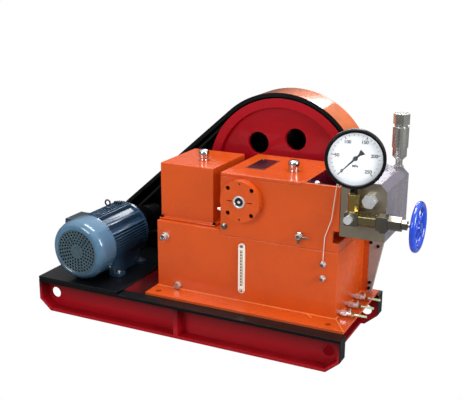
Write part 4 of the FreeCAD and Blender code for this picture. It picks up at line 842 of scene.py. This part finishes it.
@dataclass
class Tank(Dresser):
    """The oil tank, the left box, the crankcase and what is fastened to them."""

    edge_mm: float = 2.2
    weld_sizes: Pair = (2.0, 2.0)
    weld_lift: float = 0.6
    wall_inset: float = 19.0
    repair_line: Pairs = ((858, 106), (865, 100), (869, 97), (876, 91))
    plate_offset: Point = (71.0, 137.0, 0.0)
    plate_size: Point = (58.0, 122.0, 1.4)
    plate_rim: float = 3.0
    rivet_inset: float = 5.0
    screw_circle: float = 51.5
    screw_depth: float = 12.2
    small_screw_rise: float = 52.0
    mark_reach: float = 31.0
    level_marks: int = 12
    level_ends: float = 26.0
    tube_ends: float = 22.0
    breather_radius: float = 16.5
    flute_count: int = 18
    cock_count: int = 3
    cock_inset: float = 7.5
    cock_rise: float = 12.5
    gap_height: float = 377.0
    plug_top: float = 380.0
    pipe_parting: float = 400.0

    def build(self) -> None:
        """Dress the tank and its fittings."""
        for node in ("oil_tank", "left_box", "crankcase_cover", "front_bearing_cover"):
            self.rounded(node, ORANGE, self.edge_mm, "orange_paint")
        self.rounded("base_flange", ORANGE, 1.2, "orange_paint")
        self.rounded("crankcase", ORANGE_CASE, 1.6, "orange_paint")
        self._welds()
        self._name_plate()
        self._bearing_screws()
        self._sight_glass()
        self._level_gauge()
        self._breathers()
        self._bolts()
        self._small_fittings()
        self._hose_tails()

    def _welds(self) -> None:
        """Fillet welds round the tank's foot and across the flange's mitred corner, in a lighter orange as
        painted highlight.
        """
        tree = NodeKit.weld_bead(WELD_PAINTED_HIGHLIGHT)
        low, high = Site.span("oil_tank")
        leg = Site.span("block_support_leg")[0]
        flange_low, flange_high = Site.span("base_flange")
        wall = leg.x - self.wall_inset
        foot = ((low.x, low.y - 1), (wall + 1, low.y - 1), (wall + 1, leg.y), (high.x, leg.y),
                (high.x, high.y), (low.x, high.y))
        mitre = ((wall + 3, low.y - 3), (flange_high.x - 2, flange_low.y + 3))
        for name, corners, closed in (("tank_foot_weld", foot, True), ("flange_mitre_weld", mitre, False),
                                      ("foot_repair_weld", self.repair_line, False)):
            line = [Site.at(x, y, low.z + self.weld_lift) for x, y in corners]
            NodeKit.grow(name, line, tree, self.weld_sizes, "orange_paint", chain=True, closed=closed)

    def _name_plate(self) -> None:
        """The bare maroon plate on the cover, with a pale rim and four rivets."""
        length, depth, thick = self.plate_size
        low, high = Site.span("crankcase_cover")
        centre = Site.at(*(Vector((low.x, low.y, high.z + thick / 2)) + Vector(self.plate_offset)))
        self.slab("name_plate_rim", self.plate_size, centre, MAROON_EDGE, "polished", 0.4)
        self.slab("name_plate_face", (length - self.plate_rim, depth - self.plate_rim, thick),
                  centre + UP * 0.3 * MM, PLATE_MAROON, "polished", 0.3)
        reach_x, reach_y = length / 2 - self.rivet_inset, depth / 2 - self.rivet_inset
        rivets = [centre + Vector((sx * reach_x, sy * reach_y, thick / 2)) * MM for sx, sy in SIGNS]
        NodeKit.grow("name_plate_rivets", rivets, NodeKit.hex_heads(PALE_ZINC), (1.6, 0.8, 2.2, 0.5),
                     "polished", axis=UP)

    def _bearing_screws(self) -> None:
        """Socket screws in the cover's four wells, two small ones and two scribed marks between them."""
        middle = Site.middle("front_bearing_cover")
        face = Site.box("front_bearing_cover")[0].y
        well = self.screw_circle / math.sqrt(2) * MM
        screws = [Vector((middle.x + sx * well, face + self.screw_depth * MM, middle.z + sz * well))
                  for sx, sz in SIGNS]
        oxide = NodeKit.hex_heads(BLACK_OXIDE)
        NodeKit.grow("bearing_cover_screws", screws, oxide, (4.6, 8, 6.2, 1), "steel", axis=FRONT)
        small = [Vector((middle.x, face + 0.4 * MM, middle.z + side * self.small_screw_rise * MM))
                 for side in (-1, 1)]
        NodeKit.grow("bearing_cover_small_screws", small, oxide, (2.0, 0.8, 2.6, 0.4), "steel", axis=FRONT)
        for side, label in ((-1, "left"), (1, "right")):
            spot = Vector((middle.x + side * self.mark_reach * MM, face, middle.z))
            self.slab(f"bearing_cover_mark_{label}", (16, 0.6, 2.2), spot, BLACK_OXIDE, "steel", 0.2)

    def _sight_glass(self) -> None:
        """The thin chrome ring, near white as painted highlight, and dark glass in the middle of the
        bearing cover.
        """
        middle = Site.middle("front_bearing_cover")
        base = Vector((middle.x, Site.box("front_bearing_cover")[0].y, middle.z))
        ring = ((12.4, -6), (12.9, -6), (12.9, 0), (17.6, 0), (18, 1), (17.6, 4.5), (16.4, 5.6),
                (14.6, 5.8), (13.4, 5), (12.7, 3.4), (12.4, 1))
        pane = ((0, -6), (12.3, -6), (12.3, 1.6), (8, 2.6), (0, 3))
        bead = ((0, 2.6), (3.6, 2.6), (4.2, 3.4), (3, 4.2), (0, 4.4))
        for label, profile, finish, slot in (("ring", ring, PLATED_CAP_PAINTED_HIGHLIGHT, "polished"),
                                             ("pane", pane, SIGHT_DARK, "clear_glass"),
                                             ("float", bead, SIGHT_PALE, "dial_white")):
            self.lathe(f"sight_glass_{label}", profile, base, FRONT, finish, slot)

    def _level_gauge(self) -> None:
        """The level gauge: a bright slotted frame, its tube, marks and two screws."""
        self.rounded("level_gauge_frame", CLEAR_TUBE, 1.2, "polished")
        low, high = Site.box("level_gauge_frame")
        middle = (low + high) / 2
        face = low.y
        length = (high.z - low.z) / MM
        tube = length - 2 * self.tube_ends
        self.lathe("level_gauge_tube", ((0, 0), (3.2, 0), (3.2, tube), (0, tube)),
                   Vector((middle.x, face + 3.1 * MM, low.z + self.tube_ends * MM)), UP, POLY_TUBE,
                   "clear_glass")
        pitch = (length - 2 * self.level_ends) / (self.level_marks - 1)
        heights = [low.z + (self.level_ends + pitch * index) * MM for index in range(self.level_marks)]
        spots = [Vector((middle.x - 0.6 * MM, face - 0.2 * MM, height)) for height in heights]
        NodeKit.grow("level_gauge_marks", spots, NodeKit.dial_marks(PRINT_BLACK), (4.6, 3.2, 0.3),
                     "black_case", axis=RIGHT, facing=FRONT)
        screws = [Vector((middle.x, face, height)) for height in (low.z + 8 * MM, high.z - 8 * MM)]
        NodeKit.grow("level_gauge_screws", screws, NodeKit.hex_heads(PALE_ZINC), (3.4, 2.4, 5, 0.8),
                     "steel", axis=FRONT)

    def _breathers(self) -> None:
        """Two plated breather caps: foot, fluted skirt and domed lid."""
        low, high = Site.span("breathers")
        reach = self.breather_radius
        profile = ((0, 0), (15, 0), (15.4, 1), (15.4, 4), (13.6, 5), (13.6, 6.4), (14.8, 7.6), (15.6, 10),
                   (16, 17), (16.4, 24), (15.6, 28), (12.6, 31.4), (7, 33.6), (0, 34.4))
        outward = [Vector((math.cos(angle), math.sin(angle), 0)) for angle in circle(self.flute_count)]
        for label, x, y, under in (("left", low.x + reach, high.y - reach, "left_box"),
                                   ("right", high.x - reach, low.y + reach, "crankcase_cover")):
            base = Site.at(x, y, Site.span(under)[1].z)
            self.lathe(f"breather_cap_{label}", profile, base, UP, CHROME, "polished",
                                   smooth_angle=50)
            flutes = [base + away * 15.6 * MM + UP * 15 * MM for away in outward]
            NodeKit.grow(f"breather_flutes_{label}", flutes, NodeKit.dial_marks(CHROME), (12, 2.0, 1.2),
                         "polished", axis=UP, facing=outward)
        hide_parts("breathers")

    def _bolts(self) -> None:
        """Bolts on the left box's flange and the one through the seam."""
        spots = Site.corners("left_box", 6, 6, Site.span("left_box")[0].z + 6)
        NodeKit.grow("left_box_bolts", spots, NodeKit.hex_heads(BLACK_OXIDE), (4.6, 3.6, 5.6, 1.2),
                     "steel", axis=UP)
        low = Site.span("crankcase")[0]
        NodeKit.grow("seam_bolt", [Site.at(low.x + 13, low.y, low.z + 27)], NodeKit.hex_heads(SATIN_NUT),
                     (8.5, 5.5, 9.5, 1.6), "steel", axis=FRONT)

    def _small_fittings(self) -> None:
        """Plugs, nipples, tap and pipes on the front and left faces."""
        corner = Site.at(self.pipe_parting, 0, self.plug_top)
        # Plugs, tap and drain cocks take the near-white cap finish: painted highlight.
        self.rounded("pipe_plugs", PLATED_CAP_PAINTED_HIGHLIGHT, 1.0, "steel", inner=SATIN_NUT,
                     is_inner=lambda middle, normal: middle.z < corner.z and normal.y < -0.9)
        self.rounded("oil_tap", PLATED_CAP_PAINTED_HIGHLIGHT, 0.8, "polished")
        self.rounded("oil_tap_lever", SATIN_NUT, 0.5, "polished", "tap_lever")
        self.rounded("drain_cocks", PLATED_CAP_PAINTED_HIGHLIGHT, 0.5, "polished")
        self.rounded("oil_pipes", POLY_TUBE, 0.0, "steel", inner=PALE_ZINC,
                     is_inner=lambda middle, normal: middle.x < corner.x)
        tap = Site.middle("oil_tap")
        tap_low, tap_high = Site.box("oil_tap")
        self.lathe("oil_tap_collar", ((0, 0), (10, 0), (10.6, 1), (10.6, 6), (9.4, 7.4), (0, 7.4)),
                   Vector((tap.x, tap_high.y, tap.z)), FRONT, SATIN_NUT, "polished", 6)
        self.lathe("oil_tap_spout", ((0, 0), (5, 0), (5, 9), (3.6, 11), (3.6, 17), (0, 17)),
                   Vector((tap.x, tap_low.y + 8 * MM, tap.z - 5 * MM)), Vector((0, -0.25, -1)), SATIN_NUT,
                   "polished")
        low, high = Site.span("crankcase")
        self.lathe("gap_fitting", ((0, 0), (5, 0), (5, 6), (3.4, 7), (3.4, 12), (0, 12.4)),
                   Site.at(low.x + 0.4, low.y + 8, self.gap_height), -RIGHT, DIAL_WHITE, "polished")
        self.lathe("bay_oiler", ((0, 0), (5, 0), (5, 6), (6.4, 8), (6.4, 13), (3, 16), (0, 16.4)),
                   Site.at(high.x - 71, low.y + 15, high.z - 11), UP, DIAL_WHITE, "dial_white")
        self.rounded("plungers", CHROME, 0.8, "polished")

    def _hose_tails(self) -> None:
        """The pale green hose ends on the drain cocks and their yellow keys."""
        low, high = Site.span("drain_cocks")
        height = Site.span("oil_tank")[0].z + self.cock_rise
        last = self.cock_count - 1
        for index in range(self.cock_count):
            y = low.y + self.cock_inset + index * (high.y - low.y - 2 * self.cock_inset) / last
            self.lathe(f"hose_tail_{index}", ((0, 0), (3.3, 0), (3.3, 24), (2.4, 24), (2.4, 6), (0, 6)),
                       Site.at(high.x - 24, y, height), RIGHT, GREEN_TAIL, "polished", 20)
            self.lathe(f"cock_union_{index}", ((0, 0), (7, 0), (7.4, 1), (7.4, 7), (6, 8), (0, 8)),
                       Site.at(low.x + 38, y, height), RIGHT, BRASS, "polished", 6)
            self.slab(f"cock_key_{index}", (4, 16, 3), Site.at(low.x + 33, y, height + 14), BRASS,
                      "polished", 0.8)


@dataclass
class FluidEnd(Dresser):
    """The ground block with its caps, relief valve, support leg and outlet line."""

    leg_bolts: Pairs = ((964, 266), (986, 257), (966, 140), (964, 122))
    nut_back: float = 4.8
    ring_back: float = 1.0

    def build(self) -> None:
        """Dress the fluid end."""
        # The block's side and top faces take the paler steel copy as painted reflection.
        self.rounded("fluid_block", GROUND_STEEL, 0.8, "steel", inner=GROUND_STEEL_PAINTED_REFLECTION,
                     is_inner=lambda middle, normal: normal.x > 0.5 or normal.z > 0.3)
        for node, finish, width in (
                ("block_support_leg", LEG_STEEL, 0.8), ("safety_valve", TURNED_STEEL, 0.9),
                ("outlet_tee", BAR_STEEL, 1.0), ("outlet_bar", YELLOW_BAR, 1.2),
                ("valve_body", BAR_STEEL, 1.4), ("valve_bonnet", BAR_STEEL, 1.3)):
            self.rounded(node, finish, width, "steel")
        self.rounded("handwheel", BLUE_WHEEL, 0.0, "blue_paint", "valve_wheel", smooth_angle=50)
        self.paint("valve_stem", PALE_ZINC)
        self._fasteners()

    def _fasteners(self) -> None:
        """The support leg's bolts, the handwheel's nut, and washers where the outlet's parts meet."""
        face = Site.span("block_support_leg")[0].y
        spots = [Site.at(x, face, z) for x, z in self.leg_bolts]
        NodeKit.grow("support_leg_bolts", spots, NodeKit.hex_heads(BLACK_OXIDE), (4.2, 3.6, 4.8, 1),
                     "steel", axis=FRONT)
        middle = Site.middle("handwheel")
        nut = Vector((Site.box("handwheel")[1].x - self.nut_back * MM, middle.y, middle.z))
        NodeKit.grow("handwheel_nut", [nut], NodeKit.hex_heads(CHROME), (6.4, 3.2, 8, 1), "steel",
                     "valve_wheel", axis=RIGHT)
        middle = Site.middle("outlet_bar")
        for node in ("outlet_bar", "valve_body", "valve_bonnet"):
            start = Vector((Site.box(node)[0].x - self.ring_back * MM, middle.y, middle.z))
            self.lathe(f"{node}_washer", ((0, 0), (15.5, 0), (16, 0.5), (16, 1.6), (15.5, 2), (0, 2)),
                       start, RIGHT, PALE_ZINC, "steel")


@dataclass
class Gauge(Dresser):
    """The dial gauge with its print, pane and nuts."""

    turn_deg: float = 16.0
    sweep_deg: float = 270.0
    full_scale: int = 250
    step: int = 50
    minor: int = 5
    red_share: float = 0.2
    mark_radius: float = 63.0
    mark_thickness: float = 0.12
    number_radius: float = 48.0
    number_size: float = 12.5
    unit_size: float = 9.0
    unit_drop: float = 20.0
    dial_ahead: float = 10.0
    proud: float = 0.12

    def build(self) -> None:
        """Dress the gauge."""
        self.rounded("gauge_case", GAUGE_BLACK, 0.0, "black_case", inner=DIAL_WHITE,
                     is_inner=self._on_dial)
        self.rounded("gauge_bezel", GAUGE_BLACK, 1.0, "black_case", smooth_angle=40)
        self.paint("gauge_glass", CLEAR_PANE)
        self.rounded("gauge_nuts", BRASS, 1.2, "brass")
        self.paint("gauge_pointer", PRINT_BLACK)
        self._marks()
        self._words()

    @property
    def outward(self) -> Vector:
        """The direction that the dial faces."""
        angle = math.radians(self.turn_deg)
        return Vector((math.sin(angle), -math.cos(angle), 0))

    @property
    def across(self) -> Vector:
        """The dial's own direction to the right."""
        angle = math.radians(self.turn_deg)
        return Vector((math.cos(angle), math.sin(angle), 0))

    @property
    def centre(self) -> Vector:
        """The middle of the dial's face, over the stem that the nuts stand on."""
        stem = Site.middle("gauge_nuts")
        return Vector((stem.x, stem.y, Site.middle("gauge_glass").z)) + self.outward * self.dial_ahead * MM

    def _on_dial(self, middle: Vector, normal: Vector) -> bool:
        """Tell whether a face belongs to the dial's white front."""
        return normal.dot(self.outward) > 0.99 and abs((middle - self.centre).dot(self.outward)) < 0.6 * MM

    def _spot(self, share: float, radius: float) -> tuple[Vector, Vector]:
        """Place and outward direction of a point on the scale.

        Args:
            share: 0 at the scale's start and 1 at its end.
            radius: distance from the dial's middle in millimetres.

        Returns:
            The place in metres and the direction away from the middle.
        """
        angle = math.radians(-self.sweep_deg / 2 + self.sweep_deg * share)
        away = self.across * math.sin(angle) + UP * math.cos(angle)
        return self.centre + away * radius * MM + self.outward * self.proud * MM, away

    def _marks(self) -> None:
        """Long marks at the numbers, short ones between them, and the red mark."""
        count = self.full_scale // self.step * self.minor
        every = range(count + 1)
        for name, shares, length, width, finish in (
                ("long_marks", [i / count for i in every if i % self.minor == 0], 7.0, 1.8, PRINT_BLACK),
                ("short_marks", [i / count for i in every if i % self.minor], 4.0, 1.0, PRINT_BLACK),
                ("red_mark", [self.red_share], 10.0, 1.8, PRINT_RED)):
            spots, ways = zip(*(self._spot(share, self.mark_radius - length / 2) for share in shares))
            NodeKit.grow(f"dial_{name}", spots, NodeKit.dial_marks(finish),
                         (length, width, self.mark_thickness), "black_case", axis=ways,
                         facing=self.outward)

    def _words(self) -> None:
        """Plain numbers round the scale and the unit under the middle."""
        for value in range(0, self.full_scale + 1, self.step):
            self._word(str(value), self._spot(value / self.full_scale, self.number_radius)[0],
                       self.number_size)
        low = self.centre - UP * self.unit_drop * MM + self.outward * self.proud * MM
        self._word("MPa", low, self.unit_size)

    def _word(self, word: str, place: Vector, size: float) -> None:
        """Print one short word flat on the dial.

        Args:
            word: the characters.
            place: its middle in metres.
            size: letter height in millimetres.
        """
        text = bpy.data.curves.new(f"dial_{word}", "FONT")
        text.body = word
        text.size = size * MM
        text.align_x = "CENTER"
        text.align_y = "CENTER"
        text.extrude = 0.05 * MM
        text.offset = 0.35 * MM
        holder = linked(f"dial_text_{word}", text)
        mesh = evaluated(holder)
        bpy.data.objects.remove(holder)
        axes = Matrix((self.across, UP, self.outward)).transposed().to_4x4()
        mesh.transform(Matrix.Translation(place) @ axes)
        mesh.materials.clear()
        mesh.materials.append(PRINT_BLACK.material())
        settle(linked(f"dial_number_{word}", mesh), "root")


@dataclass
class Motor(Dresser):
    """The finned electric motor."""

    grille_radius: float = 68.4
    grille_skin: float = 0.2
    grille_depth: float = 5.0
    foot_half_spread: float = 80.0
    foot_places: Pair = (120.0, 245.0)
    foot_thickness: float = 10.0
    eye_y: float = 191.5
    eye_rise: float = 16.0
    eye_radius: float = 8.9
    eye_bar: float = 2.6
    eye_steps: int = 28
    eye_sides: int = 10
    lug_y: float = 248.0
    cowl_screw_degrees: tuple[float, ...] = (40, 140, 220, 320)

    def build(self) -> None:
        """Dress the motor."""
        self.rounded("motor_frame", MOTOR_BLUE, 0.5, "motor_paint", segments=1)
        self.rounded("motor_drive_shield", MOTOR_BLUE, 1.0, "motor_paint")
        # The cowl takes painted shade towards its bottom, and its perforated disc a darker copy of the
        # enamel as painted shade.
        self.rounded("motor_fan_cowl", MOTOR_SHEET, 0.0, "motor_paint", inner=GRILLE_PAINTED_SHADE,
                     is_inner=self._in_grille, smooth_angle=40)
        self.rounded("terminal_box", MOTOR_BLUE, 2.5, "motor_paint")
        self.paint("motor_fan", BLACK_PLASTIC)
        self.paint("motor_shaft", PALE_ZINC)
        self._terminal_lid()
        self._feet_bolts()
        self._eye()
        self._cowl_screws()

    def _in_grille(self, middle: Vector, normal: Vector) -> bool:
        """Tell whether a face of the cowl belongs to the perforated disc, which takes the painted shade.
        """
        depth = (middle.y - Site.box("motor_fan_cowl")[0].y) / MM
        return (Site.reach("motor_fan_cowl", middle) < self.grille_radius
                and self.grille_skin < depth < self.grille_depth)

    def _terminal_lid(self) -> None:
        """The dark lid on the terminal box with its four screws."""
        low, high = Site.span("terminal_box")
        centre = Site.at((low.x + high.x) / 2, (low.y + high.y) / 2, high.z + 2)
        self.slab("terminal_lid", (high.x - low.x - 1, high.y - low.y - 2, 5), centre, MOTOR_DARK,
                  "motor_paint", 1.2)
        spots = Site.corners("terminal_box", 7, 8, high.z + 4.5)
        NodeKit.grow("terminal_lid_screws", spots, NodeKit.hex_heads(PALE_ZINC), (2.6, 1.6, 3.4, 0.5),
                     "steel", axis=UP)

    def _eye(self) -> None:
        """The lifting eye on top of the frame, with its foot and the lug behind it."""
        low, high = Site.span("motor_fan_cowl")
        x, top = (low.x + high.x) / 2, high.z
        radius, bar = self.eye_radius * MM, self.eye_bar * MM
        centre = Site.at(x, self.eye_y, top + self.eye_rise)
        ring = bmesh.new()
        rows = []
        for around in circle(self.eye_steps):
            out = Vector((math.cos(around), 0, math.sin(around)))
            rows.append([ring.verts.new(centre + out * (radius + bar * math.cos(side))
                                        + Vector((0, bar * math.sin(side), 0)))
                         for side in circle(self.eye_sides)])
        for row, following in zip(rows, rows[1:] + rows[:1]):
            for side in range(self.eye_sides):
                after = (side + 1) % self.eye_sides
                ring.faces.new((row[side], following[side], following[after], row[after]))
        bmesh.ops.recalc_face_normals(ring, faces=ring.faces)
        settle(object_from(ring, "lifting_eye_ring", MOTOR_DARK), "root")
        self.lathe("lifting_eye_foot", ((0, -8), (8, -8), (8, 1), (5, 3), (4, 5.4), (0, 6)),
                   Site.at(x, self.eye_y, top), UP, MOTOR_BLUE, "motor_paint")
        self.slab("frame_lug", (26, 8, 9), Site.at(x, self.lug_y, top + 1), MOTOR_DARK, "motor_paint", 1.5)

    def _feet_bolts(self) -> None:
        """Bolts through the four feet."""
        x = Site.middle("motor_fan_cowl").x
        floor = Site.at(0, 0, Site.span("motor_deck")[1].z + self.foot_thickness).z
        spots = [Vector((x + side * self.foot_half_spread * MM, Site.at(0, y, 0).y, floor))
                 for side in (-1, 1) for y in self.foot_places]
        NodeKit.grow("motor_feet_bolts", spots, NodeKit.hex_heads(PALE_ZINC), (7, 5.5, 9, 1.8), "steel",
                     axis=UP)

    def _cowl_screws(self) -> None:
        """Small screws round the cowl's back edge."""
        low, high = Site.span("motor_fan_cowl")
        radius = (high.x - low.x) / 2
        out = [Vector((math.cos(a), 0, math.sin(a))) for a in map(math.radians, self.cowl_screw_degrees)]
        centre = Site.at((low.x + high.x) / 2, high.y - 7, (low.z + high.z) / 2)
        NodeKit.grow("cowl_screws", [centre + way * radius * MM for way in out],
                     NodeKit.hex_heads(PALE_ZINC), (2.6, 1.6, 3.6, 0.5), "steel", axis=out)


@dataclass
class BeltDrive(Dresser):
    """The belt wheel, pulley, belts and guard."""

    groove_depth: float = 12.0
    rim_edge: float = 1.0
    belt_gap: float = 12.0
    lip: float = 3.4
    foot_height: float = 6.0
    foot_depth: float = 12.0

    def build(self) -> None:
        """Dress the belt drive."""
        self.rounded("belt_wheel_rim", RED_WHEEL, 0.8, "red_paint", "drive_wheel", DARK_IRON,
                     self._in_groove)
        self.rounded("belt_wheel_web", RED_WHEEL, 1.2, "red_paint", "drive_wheel")
        self.paint("crank_shaft", DARK_IRON)
        self.paint("motor_pulley", DARK_IRON)
        self.paint("drive_belts", RUBBER)
        self.rounded("guard_band", ORANGE_GUARD, 0.0, "orange_paint", inner=BLACK, is_inner=self._inside)
        self.rounded("guard_back_plate", ORANGE, 0.8, "orange_paint", inner=BLACK,
                     is_inner=lambda middle, normal: normal.y < -0.5)

    def _in_groove(self, middle: Vector, normal: Vector) -> bool:
        """Tell whether a face of the rim belongs to its bare grooved outside."""
        low, high = Site.span("belt_wheel_rim")
        return (Site.reach("belt_wheel_rim", middle) > (high.x - low.x) / 2 - self.groove_depth
                and low.y + self.rim_edge < (middle.y - Site.corner.y) / MM < high.y - self.rim_edge)

    def _inside(self, middle: Vector, normal: Vector) -> bool:
        """Tell whether a face of the guard looks inwards, or is its black front lip, foot or apron.

        Args:
            middle: the face's middle.
            normal: its normal.

        Returns:
            True where the face is black.
        """
        place = (middle - Site.corner) / MM
        front = Site.span("drive_belts")[0].y - self.belt_gap
        floor = Site.span("guard_back_plate")[0].z + self.foot_height
        if place.y < front + self.lip or place.z < floor and place.y < front + self.foot_depth:
            return True
        small = Site.middle("motor_pulley")
        hub = Site.middle("belt_wheel_rim")
        start = Vector((small.x, 0, small.z))
        way = Vector((hub.x, 0, hub.z)) - start
        spine = Vector((hub.x - small.x, 0, hub.z - small.z)).normalized()
        flat = Vector((middle.x, 0, middle.z))
        along = max(0.0, min((flat - start).dot(spine), way.length))
        away = flat - (start + spine * along)
        return abs(normal.y) < 0.3 and normal.dot(away) < 0


@dataclass
class Studio:
    """Floor, lights and camera."""

    camera_place: Point = (1620.513, -1944.275, 1071.935)
    yaw_deg: float = 26.085
    pitch_deg: float = 16.139
    roll_deg: float = 0.279
    focal_pixels: float = 838.151
    image_width: float = 461.0
    sensor_width: float = 36.0
    floor_reach: float = 9.0
    floor_color: str = "#E4E4E4"
    floor_in_mirrors: float = 0.24
    sky_light: float = 0.34
    sky_in_mirrors: float = 0.9
    sky: tuple[tuple[float, Color], ...] = (
        (0.06, (0.10, 0.10, 0.11, 1)), (0.30, (0.30, 0.30, 0.32, 1)), (0.75, WHITE))

    def build(self) -> None:
        """Set the stage, the lights and the camera."""
        bpy.context.scene.view_settings.view_transform = "Standard"
        self._floor()
        self._world()
        self._lamps()
        self._camera()

    def _floor(self) -> None:
        """A pale floor: white to the camera, grey in reflections, and matt white as a bounce."""
        mesh = bpy.data.meshes.new("studio_floor")
        reach = self.floor_reach
        corners = [(-reach, -reach, 0), (reach, -reach, 0), (reach, reach, 0), (-reach, reach, 0)]
        mesh.from_pydata(corners, [], [(0, 1, 2, 3)])
        made = bpy.data.materials.new("pale_floor")
        made.use_nodes = True
        graph = Graph(made.node_tree)
        shader = graph.by_ray(graph.add("ShaderNodeBsdfDiffuse", {0: linear(self.floor_color)}),
                              graph.add("ShaderNodeEmission", {0: WHITE, 1: self.floor_in_mirrors}),
                              graph.add("ShaderNodeEmission", {0: WHITE, 1: 1.0}))
        graph.add("ShaderNodeOutputMaterial", {0: shader})
        mesh.materials.append(made)
        linked("studio_floor", mesh)

    def _world(self) -> None:
        """White to the camera, a soft grey as a light, and a dark horizon in mirrors."""
        world = bpy.data.worlds.new("studio")
        bpy.context.scene.world = world
        world.use_nodes = True
        graph = Graph(world.node_tree)
        way = graph.add("ShaderNodeTexCoord").outputs["Generated"]
        parts = graph.add("ShaderNodeSeparateXYZ", {0: way})
        rise = graph.add("ShaderNodeValToRGB", {0: parts.outputs[2]})
        low, middle, high = self.sky
        ends = rise.color_ramp.elements
        ends[0].position, ends[0].color = low
        ends[1].position, ends[1].color = high
        ends.new(middle[0]).color = middle[1]
        shader = graph.by_ray(graph.add("ShaderNodeBackground", {0: WHITE, 1: self.sky_light}),
                              graph.add("ShaderNodeBackground", {0: rise, 1: self.sky_in_mirrors}),
                              graph.add("ShaderNodeBackground", {0: WHITE, 1: 1.0}))
        graph.add("ShaderNodeOutputWorld", {0: shader})

    def _lamps(self) -> None:
        """A large soft box over the pump, a key from the front, a right fill and a strip behind."""
        aims = (
            ("top_box", (500, 250, 2600), (500, 250, 300), 1.6, 1.2, 60.0),
            ("front_key", (-300, -2500, 1500), (500, 100, 300), 1.2, 1.2, 34.0),
            ("right_fill", (3000, -400, 1300), (800, 200, 350), 1.0, 1.2, 42.0),
            ("back_strip", (150, 2300, 1650), (700, 450, 600), 1.3, 0.4, 20.0),
        )
        for name, place, aim, width, height, power in aims:
            lamp = bpy.data.lights.new(name, "AREA")
            lamp.shape = "RECTANGLE"
            lamp.size = width
            lamp.size_y = height
            lamp.energy = power
            holder = linked(name, lamp)
            holder.location = Site.at(*place)
            holder.rotation_euler = (Site.at(*aim) - holder.location).to_track_quat("-Z", "Y").to_euler()

    def _camera(self) -> None:
        """The photograph's viewpoint."""
        yaw, pitch, roll = (math.radians(a) for a in (self.yaw_deg, self.pitch_deg, self.roll_deg))
        level = math.cos(pitch)
        forward = Vector((-math.sin(yaw) * level, math.cos(yaw) * level, -math.sin(pitch)))
        right = Vector((math.cos(yaw), math.sin(yaw), 0))
        up = right.cross(forward)
        rolled_right = right * math.cos(roll) + up * math.sin(roll)
        rolled_up = up * math.cos(roll) - right * math.sin(roll)
        lens = bpy.data.cameras.new("photo_camera")
        lens.sensor_fit = "HORIZONTAL"
        lens.sensor_width = self.sensor_width
        lens.lens = self.focal_pixels / self.image_width * self.sensor_width
        holder = linked("photo_camera", lens)
        axes = Matrix((rolled_right, rolled_up, -forward)).transposed().to_4x4()
        holder.matrix_world = Matrix.Translation(Site.at(*self.camera_place)) @ axes
        bpy.context.scene.camera = holder


@dataclass
class TestPump:
    """The whole machine, dressed one sub-assembly at a time."""

    parts: tuple[Dresser | Studio, ...] = field(default_factory=lambda: (
        Skid(), Tank(), FluidEnd(), Gauge(), Motor(), BeltDrive(), Studio()))

    def build(self) -> None:
        """Build every sub-assembly in order."""
        for part in self.parts:
            part.build()
            LOG.info("built %s", type(part).__name__)


def main() -> None:
    logging.basicConfig(level=logging.INFO, format="%(message)s")
    TestPump().build()


if __name__ == "__main__":
    main()
